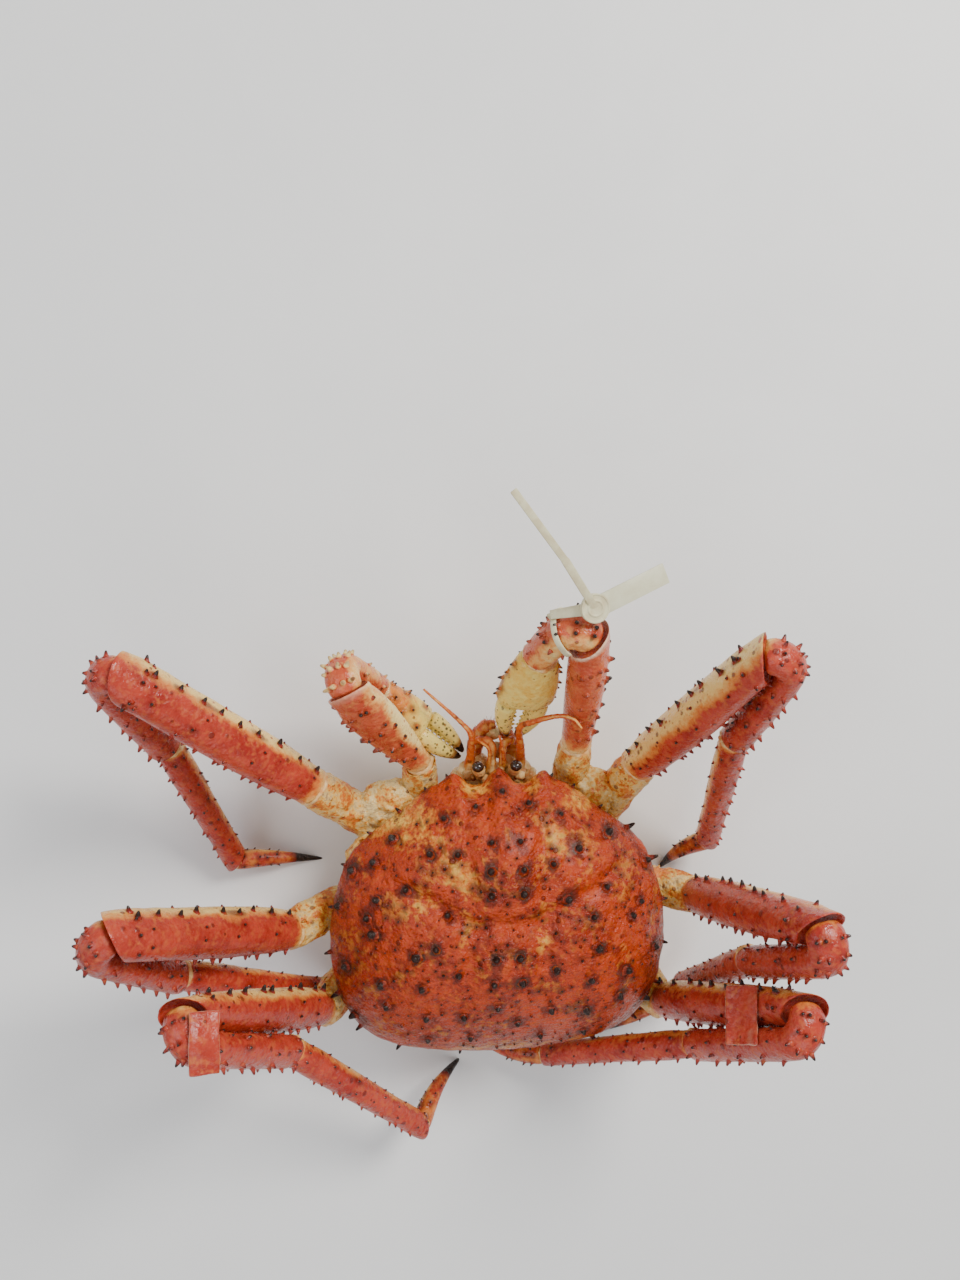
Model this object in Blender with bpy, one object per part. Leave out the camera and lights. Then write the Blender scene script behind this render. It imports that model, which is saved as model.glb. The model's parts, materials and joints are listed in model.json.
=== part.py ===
"""
Red king crab, cooked, life size: a still model resting on its belly, its limbs folded
as they hang when it is lifted. All lengths are metres.
+Z runs up through the back, +Y towards the head and -X towards the animal's left.
The origin is on the flat of the belly, under the middle of the body.
"""

import math
import random

import bmesh
import bpy
from mathutils import Vector
from mathutils.bvhtree import BVHTree

# Gap between pieces that touch
GAP = 0.0003

# Carapace: right half of its outline seen from above, from the beak round to the tail
CARAPACE_HALF = (
    (0.0000, 0.0790),
    (0.0045, 0.0755),
    (0.0085, 0.0705),
    (0.0150, 0.0700),
    (0.0195, 0.0735),
    (0.0250, 0.0765),
    (0.0300, 0.0720),
    (0.0370, 0.0690),
    (0.0440, 0.0640),
    (0.0530, 0.0565),
    (0.0620, 0.0500),
    (0.0710, 0.0430),
    (0.0795, 0.0340),
    (0.0850, 0.0220),
    (0.0890, 0.0090),
    (0.0910, -0.0050),
    (0.0915, -0.0190),
    (0.0895, -0.0330),
    (0.0865, -0.0450),
    (0.0805, -0.0570),
    (0.0715, -0.0670),
    (0.0590, -0.0735),
    (0.0430, -0.0780),
    (0.0220, -0.0805),
)
TAIL_END_Y = -0.0815
CROWN_Y = 0.014
RIM_FRONT_Z = 0.060
RIM_SIDE_Z = 0.053
RIM_BACK_Z = 0.044
DOME_TOP_Z = 0.094
DOME_SHARES = (0.07, 0.18, 0.31, 0.45, 0.59, 0.72, 0.84, 0.93, 1.0)
SMOOTHING = (9, 9, 8, 7, 5, 4, 3, 1, 0)

# Swellings of the dome: centre, half widths and height
DOME_SWELLINGS = (
    ((0.000, 0.040), (0.017, 0.030), 0.0050),
    ((0.000, -0.026), (0.016, 0.017), 0.0040),
    ((-0.050, -0.016), (0.026, 0.034), 0.0045),
    ((0.050, -0.016), (0.026, 0.034), 0.0045),
    ((-0.047, 0.036), (0.017, 0.016), 0.0035),
    ((0.047, 0.036), (0.017, 0.016), 0.0035),
)

# Body under the carapace: half outline of its plate, whose side facets carry the limbs
THORAX_HALF = (
    (0.0250, 0.0610),
    (0.0330, 0.0600),
    (0.0500, 0.0475),
    (0.0640, 0.0205),
    (0.0650, -0.0105),
    (0.0560, -0.0390),
    (0.0420, -0.0540),
    (0.0220, -0.0600),
)
PLATE_BOTTOM_Z = 0.012
PLATE_TOP_Z = 0.038
HIP_Z = 0.0252
CLAW_FACET = (THORAX_HALF[1], THORAX_HALF[2])
LEG_FACETS = {
    1: (THORAX_HALF[2], THORAX_HALF[3]),
    2: (THORAX_HALF[3], THORAX_HALF[4]),
    3: (THORAX_HALF[4], THORAX_HALF[5]),
}

# Abdomen, folded flat under the body: the flat that it rests on
ABDOMEN_HALF = (
    (0.0100, 0.0300),
    (0.0200, 0.0180),
    (0.0300, -0.0060),
    (0.0370, -0.0300),
    (0.0370, -0.0500),
    (0.0280, -0.0620),
    (0.0120, -0.0660),
)

# Walking legs: half sizes of their segments
HIP_HALF = 0.0108
BASE_SAG = 0.0065
MERUS_WIDE = 0.0125
MERUS_DEEP = 0.0118
CARPUS_WIDE = 0.0092
CARPUS_DEEP = 0.0088
PROPODUS_WIDE = 0.0072
PROPODUS_DEEP = 0.0076
DACTYL_HALF = 0.0056
TOE_HALF = 0.0012
KNEE_RADIUS = 0.0084
KNEE_SHIFT = 0.0026
KNEE_CUT = math.radians(48)

# Walking legs, pose: places of the joints, and the spot on the floor where the toe rests
LEG_POSES = {
    "leg_left_1": dict(root=(-0.098, 0.070, 0.054), knee=(-0.1767, 0.1351, 0.1211),
                       wrist=(-0.170, 0.095, 0.062), ankle=(-0.146, 0.022, 0.012),
                       toe=(-0.102, 0.018), girth=1.0),
    "leg_left_2": dict(root=(-0.112, -0.008, 0.047), knee=(-0.1789, 0.0226, 0.138),
                       wrist=(-0.164, -0.017, 0.080), ankle=(-0.099, -0.054, 0.018),
                       toe=(-0.062, -0.083), girth=1.0),
    "leg_left_3": dict(root=(-0.096, -0.053, 0.044), knee=(-0.147, -0.013, 0.144),
                       wrist=(-0.109, -0.0525, 0.0925), ankle=(-0.0445, -0.1275, 0.034),
                       toe=(-0.021, -0.108), girth=0.95),
    "leg_right_1": dict(root=(0.078, 0.076, 0.052), knee=(0.1129, 0.1383, 0.1474),
                        wrist=(0.116, 0.096, 0.096), ankle=(0.125, 0.026, 0.025),
                        toe=(0.105, 0.005), girth=1.0),
    "leg_right_2": dict(root=(0.111, 0.001, 0.046), knee=(0.129, 0.020, 0.165),
                        wrist=(0.122, -0.016, 0.101), ankle=(0.112, -0.062, 0.017),
                        toe=(0.061, -0.095), girth=1.0),
    "leg_right_3": dict(root=(0.092, -0.060, 0.042), knee=(0.126, -0.022, 0.153),
                        wrist=(0.0965, -0.0630, 0.0895), ankle=(0.0285, -0.0955, 0.024),
                        toe=(-0.010, -0.094), girth=0.95),
}

# Claws, pose: joints, tips of the fingers and the way in which the palm is broad
CLAW_POSES = {
    "claw_left": dict(root=(-0.041, 0.080, 0.047), elbow=(-0.076, 0.125, 0.098),
                      wrist=(-0.0625, 0.1205, 0.0583), tips=(-0.018, 0.083, 0.0395),
                      broad=(0.35, 0.80, -0.50), palm_wide=0.0098, girth=0.92),
    "claw_right": dict(root=(0.044, 0.088, 0.050), elbow=(0.038, 0.148, 0.112),
                       wrist=(0.0175, 0.139, 0.096), tips=(0.009, 0.094, 0.047),
                       broad=(-1.0, 0.0, 0.0), palm_wide=0.0155, girth=1.06),
}
CLAW_RADIUS = 0.0085
CLAW_SHIFT = 0.0020
CLAW_CUT = math.radians(38)
CLAW_HIP_HALF = 0.0100
CLAW_MERUS_START = 0.0078
CLAW_MERUS_END = 0.0118
CLAW_CARPUS_HALF = 0.0096
PALM_DEEP = 0.0085
PALM_SHARE = 0.54
FINGER_HALF = 0.0046

# Head: block under the beak, and what it carries, as bent rods of (point, half thickness)
HEAD_RINGS = (
    (0.0613, 0.0220, 0.0200, 0.0385),
    (0.0660, 0.0215, 0.0210, 0.0420),
    (0.0715, 0.0170, 0.0260, 0.0455),
)
HEAD_FRONT_Y = HEAD_RINGS[-1][0]
HEAD_RODS = {
    "eye_left": (((-0.0082, 0.0718, 0.0425), 0.0019), ((-0.0094, 0.0742, 0.0465), 0.0017),
                 ((-0.0100, 0.0755, 0.0495), 0.0024), ((-0.0104, 0.0765, 0.0525), 0.0036),
                 ((-0.0107, 0.0770, 0.0555), 0.0034), ((-0.0109, 0.0772, 0.0580), 0.0016)),
    "eye_right": (((0.0082, 0.0718, 0.0425), 0.0019), ((0.0094, 0.0742, 0.0465), 0.0017),
                  ((0.0100, 0.0755, 0.0495), 0.0024), ((0.0104, 0.0765, 0.0525), 0.0036),
                  ((0.0107, 0.0770, 0.0555), 0.0034), ((0.0109, 0.0772, 0.0580), 0.0016)),
    "antenna_left": (((-0.0140, 0.0718, 0.0400), 0.0026), ((-0.0140, 0.0780, 0.0440), 0.0027),
                     ((-0.0135, 0.0850, 0.0500), 0.0022), ((-0.0140, 0.0960, 0.0590), 0.0017),
                     ((-0.0200, 0.1040, 0.0625), 0.0012), ((-0.0390, 0.1220, 0.0680), 0.0006)),
    "antenna_right": (((0.0140, 0.0718, 0.0400), 0.0026), ((0.0142, 0.0780, 0.0440), 0.0027),
                      ((0.0130, 0.0880, 0.0540), 0.0022), ((0.0110, 0.1005, 0.0680), 0.0017),
                      ((0.0170, 0.1046, 0.0770), 0.0015), ((0.0275, 0.1082, 0.0855), 0.0013),
                      ((0.0350, 0.1073, 0.0890), 0.0010), ((0.0400, 0.1019, 0.0880), 0.0006)),
    "antennule_left": (((-0.0040, 0.0718, 0.0430), 0.0013), ((-0.0040, 0.0790, 0.0500), 0.0013),
                       ((-0.0045, 0.0880, 0.0570), 0.0010), ((-0.0110, 0.0940, 0.0620), 0.0006)),
    "antennule_right": (((0.0040, 0.0718, 0.0430), 0.0013), ((0.0040, 0.0790, 0.0500), 0.0013),
                        ((0.0030, 0.0870, 0.0570), 0.0010), ((0.0005, 0.0960, 0.0640), 0.0006)),
    "maxilliped_left": (((-0.0085, 0.0718, 0.0320), 0.0034), ((-0.0115, 0.0820, 0.0360), 0.0034),
                        ((-0.0095, 0.0930, 0.0410), 0.0031), ((-0.0050, 0.0985, 0.0440), 0.0026),
                        ((-0.0010, 0.1005, 0.0450), 0.0016)),
    "maxilliped_right": (((0.0085, 0.0718, 0.0320), 0.0034), ((0.0105, 0.0810, 0.0350), 0.0034),
                         ((0.0095, 0.0890, 0.0385), 0.0030), ((0.0060, 0.0935, 0.0405), 0.0025),
                         ((0.0020, 0.0950, 0.0410), 0.0016)),
}

# Tag on the right claw: strap, boss, plate and tail
BAND_TURN = math.radians(124)
BAND_HALF = 0.0014
BAND_THICK = 0.0012
BOSS = Vector((0.0390, 0.1630, 0.1275))
BOSS_RADIUS = 0.0070
LABEL_END = Vector((0.0740, 0.1790, 0.1225))
LABEL_HALF = 0.0050
TAIL_TIP = Vector((-0.0010, 0.2150, 0.1500))
TAIL_BEND = Vector((0.0230, 0.1850, 0.1400))
TAG_THICK = 0.0016

# Spines: height and half thickness of the root, by size, and how they are set
SPINE_SIZES = {
    "tall": (0.0054, 0.0027),
    "middle": (0.0042, 0.0024),
    "short": (0.0031, 0.0019),
}
SPINE_SINK = 0.0016
SPINE_LEAN = math.radians(27)
SPINE_CLEARANCE = 0.0013
SPINE_SIDES = 4
SEED = 20

# Spines in rows along a limb: degrees round from the edge nearer the head, first and last
# share of the length, count and size
MERUS_ROWS = (
    (52, 0.20, 0.84, 3, "short"),
    (90, 0.12, 0.86, 5, "middle"),
    (128, 0.09, 0.86, 6, "tall"),
    (168, 0.12, 0.84, 6, "middle"),
)
MERUS_END_SPINES = (55, 90, 125, 160)
CARPUS_ROWS = (
    (50, 0.20, 0.80, 2, "middle"),
    (95, 0.12, 0.86, 3, "middle"),
    (140, 0.12, 0.86, 4, "tall"),
)
PROPODUS_ROWS = (
    (70, 0.12, 0.88, 4, "short"),
    (130, 0.10, 0.88, 6, "middle"),
    (175, 0.20, 0.80, 3, "short"),
)
DACTYL_ROWS = ((60, 0.12, 0.42, 2, "short"), (120, 0.18, 0.48, 2, "short"))
BASE_ROWS = ((70, 0.55, 0.88, 2, "middle"), (110, 0.62, 0.90, 2, "middle"))
CLAW_MERUS_ROWS = (
    (90, 0.25, 0.86, 4, "middle"),
    (40, 0.25, 0.86, 4, "middle"),
    (140, 0.25, 0.86, 4, "middle"),
)
PALM_ROWS = (
    (90, 0.18, 0.86, 4, "middle"),
    (50, 0.25, 0.80, 3, "short"),
    (130, 0.25, 0.80, 3, "short"),
    (0, 0.20, 0.80, 3, "short"),
    (180, 0.20, 0.80, 3, "short"),
)

# Spines on one half of the carapace, mirrored: place seen from above, and size
CARAPACE_SPINES = (
    (0.0070, 0.0460, "short"),
    (0.0085, 0.0330, "middle"),
    (0.0080, 0.0210, "middle"),
    (0.0060, -0.0125, "middle"),
    (0.0075, -0.0250, "middle"),
    (0.0050, -0.0380, "short"),
    (0.0240, -0.0200, "middle"),
    (0.0230, -0.0450, "middle"),
    (0.0320, 0.0160, "middle"),
    (0.0460, -0.0110, "tall"),
    (0.0430, -0.0290, "middle"),
    (0.0410, -0.0470, "middle"),
    (0.0630, -0.0270, "tall"),
    (0.0600, -0.0410, "middle"),
    (0.0660, -0.0010, "tall"),
    (0.0710, 0.0080, "middle"),
    (0.0530, 0.0190, "middle"),
    (0.0650, 0.0170, "middle"),
    (0.0560, 0.0420, "tall"),
    (0.0660, 0.0320, "middle"),
    (0.0390, 0.0400, "middle"),
    (0.0300, 0.0560, "short"),
    (0.0240, 0.0350, "short"),
    (0.0180, -0.0620, "short"),
    (0.0420, -0.0640, "short"),
)
MARGIN_SPINES = ((7, "middle"), (9, "tall"), (11, "tall"), (13, "middle"), (15, "middle"),
                 (17, "middle"), (19, "middle"), (21, "short"), (23, "short"))

# Colours of the cooked shell and of the tag
SHELL_ORANGE = (0.62, 0.13, 0.045)
LEG_RED = (0.52, 0.10, 0.065)
BASE_CREAM = (0.78, 0.52, 0.22)
FINGER_YELLOW = (0.80, 0.55, 0.18)
FEELER_ORANGE = (0.75, 0.22, 0.08)
BELLY_CREAM = (0.80, 0.62, 0.40)
EYE_BROWN = (0.05, 0.02, 0.012)
TAG_CREAM = (0.80, 0.80, 0.66)
TAIL_TAN = (0.60, 0.45, 0.28)


# Start from an empty scene
for leftover in list(bpy.data.objects):
    bpy.data.objects.remove(leftover, do_unlink=True)


def across(vector, axis):
    """Unit vector: the part of a vector that stands square to an axis."""
    return (vector - vector.dot(axis) * axis).normalized()


def section(centre, side, out, wide, outer, inner, sides=10, power=2.3):
    """A closed ring of points: an oval, slightly square, whose two edges may differ in depth."""
    ring = []
    for i in range(sides):
        angle = 2 * math.pi * (i + 0.5) / sides
        c = math.cos(angle)
        s = math.sin(angle)
        x = math.copysign(abs(c) ** (2 / power), c) * wide
        y = math.copysign(abs(s) ** (2 / power), s) * (outer if s > 0 else inner)
        ring.append(centre + side * x + out * y)
    return ring


def trim(ring, along, point, normal):
    """Slides a ring's points along a direction until they lie in a plane."""
    return [p + along * ((point - p).dot(normal) / along.dot(normal)) for p in ring]


def loft(rings, closed=False):
    """A closed body from a row of rings with equal counts: its ends filled, or joined to each other."""
    bm = bmesh.new()
    loops = [[bm.verts.new(p) for p in ring] for ring in rings]
    count = len(rings[0])
    pairs = list(zip(loops, loops[1:]))
    if closed:
        pairs.append((loops[-1], loops[0]))
    for first, second in pairs:
        for i in range(count):
            j = (i + 1) % count
            bm.faces.new((first[i], first[j], second[j], second[i]))
    if not closed:
        bm.faces.new(list(reversed(loops[0])))
        bm.faces.new(loops[-1])
    bmesh.ops.triangulate(bm, faces=bm.faces)
    bmesh.ops.recalc_face_normals(bm, faces=bm.faces)
    return bm


def material(name, colour, roughness):
    """A plain material."""
    finish = bpy.data.materials.new(name)
    finish.use_nodes = True
    shader = finish.node_tree.nodes["Principled BSDF"]
    shader.inputs["Base Color"].default_value = (*colour, 1.0)
    shader.inputs["Roughness"].default_value = roughness
    return finish


def add_object(name, bm, colour=None, roughness=0.35):
    """Links a mesh to the scene as a named piece, with its own material when it has a colour."""
    mesh = bpy.data.meshes.new(name)
    bm.to_mesh(mesh)
    bm.free()
    piece = bpy.data.objects.new(name, mesh)
    bpy.context.scene.collection.objects.link(piece)
    if colour:
        mesh.materials.append(material(name + "_finish", colour, roughness))
        mesh.shade_smooth()
        mesh.set_sharp_from_angle(angle=math.radians(40))
    return piece


def keep_largest(mesh):
    """Keeps only the largest closed surface of a mesh."""
    bm = bmesh.new()
    bm.from_mesh(mesh)
    unseen = set(bm.faces)
    groups = []
    while unseen:
        group = [unseen.pop()]
        for face in group:
            for edge in face.edges:
                for near in edge.link_faces:
                    if near in unseen:
                        unseen.remove(near)
                        group.append(near)
        groups.append(group)
    groups.sort(key=lambda g: sum(f.calc_area() for f in g))
    for group in groups[:-1]:
        bmesh.ops.delete(bm, geom=group, context="FACES")
    bm.to_mesh(mesh)
    bm.free()


def fuse(piece, parts):
    """Joins closed parts to a piece in one union."""
    group = bpy.data.collections.new("fused")
    bpy.context.scene.collection.children.link(group)
    for part in parts:
        group.objects.link(part)
    union = piece.modifiers.new("union", "BOOLEAN")
    union.operation = "UNION"
    union.operand_type = "COLLECTION"
    union.collection = group
    union.solver = "EXACT"
    graph = bpy.context.evaluated_depsgraph_get()
    joined = bpy.data.meshes.new_from_object(piece.evaluated_get(graph))
    piece.modifiers.clear()
    piece.data = joined
    for part in parts:
        bpy.data.objects.remove(part, do_unlink=True)
    bpy.data.collections.remove(group)
    keep_largest(joined)
    joined.shade_smooth()
    joined.set_sharp_from_angle(angle=math.radians(40))


# What each spined piece carries: axis point, way out, way along and size of every spine
spine_sites = {}
chance = random.Random(SEED)


def row_sites(name, start, end, side, out, rows):
    """Notes spines in rows along a straight piece."""
    along = (end - start).normalized()
    if side.y < 0:
        side = -side
    sites = spine_sites.setdefault(name, [])
    for degrees, first, last, count, size in rows:
        for i in range(count):
            share = first + (last - first) * (i + chance.uniform(-0.22, 0.22)) / (count - 1)
            angle = math.radians(degrees + chance.uniform(-7, 7))
            way = side * math.cos(angle) + out * math.sin(angle)
            sites.append((start.lerp(end, share), way, along, size))


def bend_sites(name, frame, along, side, radius, cut, turns):
    """Notes spines round the outside of a fold."""
    out, pivot, turn, begin, run = frame
    sites = spine_sites.setdefault(name, [])
    for degrees in turns:
        angle = math.radians(degrees)
        outward = along * math.sin(angle) + out * math.cos(angle)
        tangent = along * math.cos(angle) - out * math.sin(angle)
        for lean in (-0.75, 0.0, 0.75):
            way = (outward + side * (lean + chance.uniform(-0.1, 0.1))).normalized()
            sites.append((pivot + outward * radius, way, tangent, "tall"))


def spine(root, axis, height, radius):
    """A pointed closed cone whose root is sunk into the surface."""
    side = axis.orthogonal().normalized()
    other = axis.cross(side)
    base = root - axis * SPINE_SINK
    turned = chance.uniform(0, math.pi)
    bm = bmesh.new()
    ring = []
    for i in range(SPINE_SIDES):
        angle = turned + 2 * math.pi * i / SPINE_SIDES
        ring.append(bm.verts.new(base + (side * math.cos(angle) + other * math.sin(angle)) * radius))
    tip = bm.verts.new(root + axis * height)
    for i in range(SPINE_SIDES):
        bm.faces.new((ring[i], ring[(i + 1) % SPINE_SIDES], tip))
    bm.faces.new(list(reversed(ring)))
    bmesh.ops.triangulate(bm, faces=bm.faces)
    bmesh.ops.recalc_face_normals(bm, faces=bm.faces)
    return add_object("spine", bm)


def surface_tree(piece):
    """A search tree of a piece's surface."""
    bm = bmesh.new()
    bm.from_mesh(piece.data)
    tree = BVHTree.FromBMesh(bm)
    bm.free()
    return tree


def is_clear(name, root, tip, trees, others):
    """Whether a spine keeps clear of every other piece and of the spines that they carry."""
    for share in (0.15, 0.4, 0.7, 1.0):
        point = root.lerp(tip, share)
        for other, tree in trees.items():
            if other != name and tree.find_nearest(point, SPINE_CLEARANCE + 0.0015 * (1 - share))[0]:
                return False
        for other, other_root, other_tip in others:
            if other != name:
                middle = other_root.lerp(other_tip, 0.6)
                if (point - other_tip).length < 0.002 or (point - middle).length < 0.0035:
                    return False
    return True


def set_spines():
    """Sets every noted spine on its piece's surface, where there is room for it, and fuses it."""
    pieces = {o.name: o for o in bpy.data.objects if o.type == "MESH"}
    trees = {name: surface_tree(piece) for name, piece in pieces.items()}
    placed = []
    for name, sites in spine_sites.items():
        cones = []
        for centre, way, along, size in sites:
            root = trees[name].ray_cast(centre, way)[0]
            if root is None:
                continue
            height, radius = SPINE_SIZES[size]
            height *= chance.uniform(0.85, 1.12)
            lean = SPINE_LEAN * chance.uniform(0.6, 1.3)
            axis = (way * math.cos(lean) + along * math.sin(lean)).normalized()
            tip = root + axis * height
            if is_clear(name, root, tip, trees, placed):
                placed.append((name, root, tip))
                cones.append(spine(root, axis, height, radius))
        fuse(pieces[name], cones)


def prism(half_outline, low, high, top_scale=1.0):
    """A closed slab from a half outline, mirrored, between two heights."""
    right = [Vector((x, y, 0)) for x, y in half_outline]
    left = [Vector((-x, y, 0)) for x, y in reversed(half_outline)]
    loop = right + left
    rings = []
    for z, scale in ((low, 1.0), (high, top_scale)):
        rings.append([Vector((p.x * scale, p.y * scale, z)) for p in loop])
    return loft(rings)


def segment(name, start, end, side, out, stations, start_plane, end_plane, colour, sides=10, sag=0.0):
    """
    A shell segment. Each station is (share of length, half width, outer depth, inner depth);
    the first and last rings are slid into the joint planes. A sag bends it down between them.
    """
    along = (end - start).normalized()
    rings = []
    for share, wide, outer, inner in stations:
        centre = start.lerp(end, share)
        centre.z -= sag * math.sin(math.pi * share)
        rings.append(section(centre, side, out, wide, outer, inner, sides))
    rings[0] = trim(rings[0], along, *start_plane)
    rings[-1] = trim(rings[-1], along, *end_plane)
    return add_object(name, loft(rings), colour)


def joint_planes(point, before, after):
    """Planes of the two faces that meet at a joint, a gap apart."""
    normal = (before + after).normalized()
    half = normal * (GAP / 2)
    return (point - half, normal), (point + half, normal)


def fold_frame(knee, along, wrist, radius, shift, cut):
    """
    Where a limb that folds back on itself turns: unit vector out of the bend, centre of
    the turn, angle through which it turns, start of the straight run and its direction.
    """
    run = (wrist - knee).normalized()
    for _ in range(8):
        out = -across(run, along)
        turn = math.acos(max(-1.0, min(1.0, along.dot(run))))
        inward = -out * math.cos(cut) - along * math.sin(cut)
        pivot = knee + inward * (radius - shift)
        begin = pivot + (along * math.sin(turn) + out * math.cos(turn)) * radius
        run = (wrist - begin).normalized()
    return out, pivot, turn, begin, run


def folded_rings(frame, along, side, wrist, cut, radius, wide, deep, stations):
    """Rings of a segment that starts on a slanted joint face, turns over and runs back."""
    out, pivot, turn, begin, run = frame
    rings = []
    steps = 6
    for i in range(steps + 1):
        share = i / steps
        angle = cut + (turn - cut) * share
        outward = along * math.sin(angle) + out * math.cos(angle)
        rings.append(section(pivot + outward * radius, side, outward, wide * (0.90 + 0.10 * share),
                             deep * (0.84 + 0.10 * share), deep * 0.72))
    outward = along * math.sin(turn) + out * math.cos(turn)
    outward = across(outward, run)
    for share, width, outer, inner in stations:
        rings.append(section(begin.lerp(wrist, share), side, outward,
                             wide * width, deep * outer, deep * inner))
    return rings, outward


def facet_normal(facet, sign):
    """Outward normal of a side facet of the body's plate."""
    (x0, y0), (x1, y1) = facet
    normal = Vector((abs(y1 - y0), abs(x1 - x0), 0)).normalized()
    if (x1 - x0) * (y1 - y0) > 0:
        normal.y = -normal.y
    return Vector((normal.x * sign, normal.y, 0))


def facet_middle(facet, sign):
    """Middle of a side facet, at the height of the hips."""
    (x0, y0), (x1, y1) = facet
    return Vector(((x0 + x1) / 2 * sign, (y0 + y1) / 2, HIP_Z))


# Carapace

def full_outline():
    """The whole outline seen from above, anticlockwise from the beak."""
    left = [Vector((-x, y)) for x, y in CARAPACE_HALF]
    right = [Vector((x, y)) for x, y in CARAPACE_HALF[1:]]
    return left + [Vector((0.0, TAIL_END_Y))] + list(reversed(right))


def smoothed(outline, passes):
    """The outline with its notches and corners worn away."""
    points = list(outline)
    for _ in range(passes):
        after = points[1:] + points[:1]
        before = points[-1:] + points[:-1]
        points = [p * 0.5 + (a + b) * 0.25 for p, a, b in zip(points, after, before)]
    return points


def rim_height(y):
    """Height of the carapace's edge: highest at the beak, lowest at the tail."""
    if y > 0:
        share = min(1.0, y / CARAPACE_HALF[0][1])
        return RIM_SIDE_Z + (RIM_FRONT_Z - RIM_SIDE_Z) * share ** 2
    share = min(1.0, y / TAIL_END_Y)
    return RIM_SIDE_Z + (RIM_BACK_Z - RIM_SIDE_Z) * share ** 2


def dome_height(x, y, share, rim):
    """Height of the shell at a share of the way out to the rim, with its raised regions."""
    rise = (1 - share ** 2.5) ** 0.72
    height = rim + (DOME_TOP_Z - rim) * rise
    for (cx, cy), (wx, wy), swell in DOME_SWELLINGS:
        height += swell * math.exp(-((x - cx) / wx) ** 2 - ((y - cy) / wy) ** 2) * rise ** 0.5
    groove = y - (0.004 + 0.55 * max(0.0, abs(x) - 0.016))
    height -= 0.0020 * math.exp(-(groove / 0.009) ** 2) * rise ** 0.5
    return height


def carapace_rings():
    outline = full_outline()
    crown = Vector((0.0, CROWN_Y))
    rims = [rim_height(p.y) for p in outline]
    rings = []
    for share, passes in zip(DOME_SHARES, SMOOTHING):
        ring = []
        for p, rim in zip(smoothed(outline, passes), rims):
            q = crown + (p - crown) * share
            ring.append(Vector((q.x, q.y, dome_height(q.x, q.y, share, rim))))
        rings.append(ring)
    bottom = PLATE_TOP_Z + GAP
    for share, drop in ((0.955, 0.20), (0.83, 0.62), (0.66, 1.0)):
        rings.append([Vector((p.x * share, p.y * share, rim + (bottom - rim) * drop))
                      for p, rim in zip(outline, rims)])
    return rings


carapace = add_object("carapace", loft(carapace_rings()), SHELL_ORANGE, 0.3)



def carapace_sites():
    """Notes the spines of the dome and of the margin."""
    sites = spine_sites.setdefault("carapace", [])
    for x, y, size in CARAPACE_SPINES:
        for sign in (-1, 1):
            place = Vector((x * sign + chance.uniform(-0.002, 0.002), y + chance.uniform(-0.002, 0.002), 0))
            centre = Vector((place.x * 0.55, place.y * 0.55, 0.045))
            top = Vector((place.x, place.y, dome_height(place.x, place.y, min(1.0, place.length / 0.09), 0.05)))
            sites.append((centre, (top - centre).normalized(), Vector((0, 1, 0)), size))
    outline = full_outline()
    for index, size in MARGIN_SPINES:
        for i in (index, len(outline) - index):
            rim = Vector((outline[i].x, outline[i].y, rim_height(outline[i].y) + 0.0012))
            centre = Vector((rim.x * 0.9, rim.y * 0.9, rim.z - 0.001))
            sites.append((centre, (rim - centre).normalized(), Vector((0, 0, 1)), size))


carapace_sites()

# Body plate and abdomen
add_object("thorax", prism(THORAX_HALF, PLATE_BOTTOM_Z, PLATE_TOP_Z), BELLY_CREAM, 0.5)
add_object("abdomen", prism(ABDOMEN_HALF, 0.0, PLATE_BOTTOM_Z - GAP, 0.94), LEG_RED, 0.4)


# Walking legs

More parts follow.
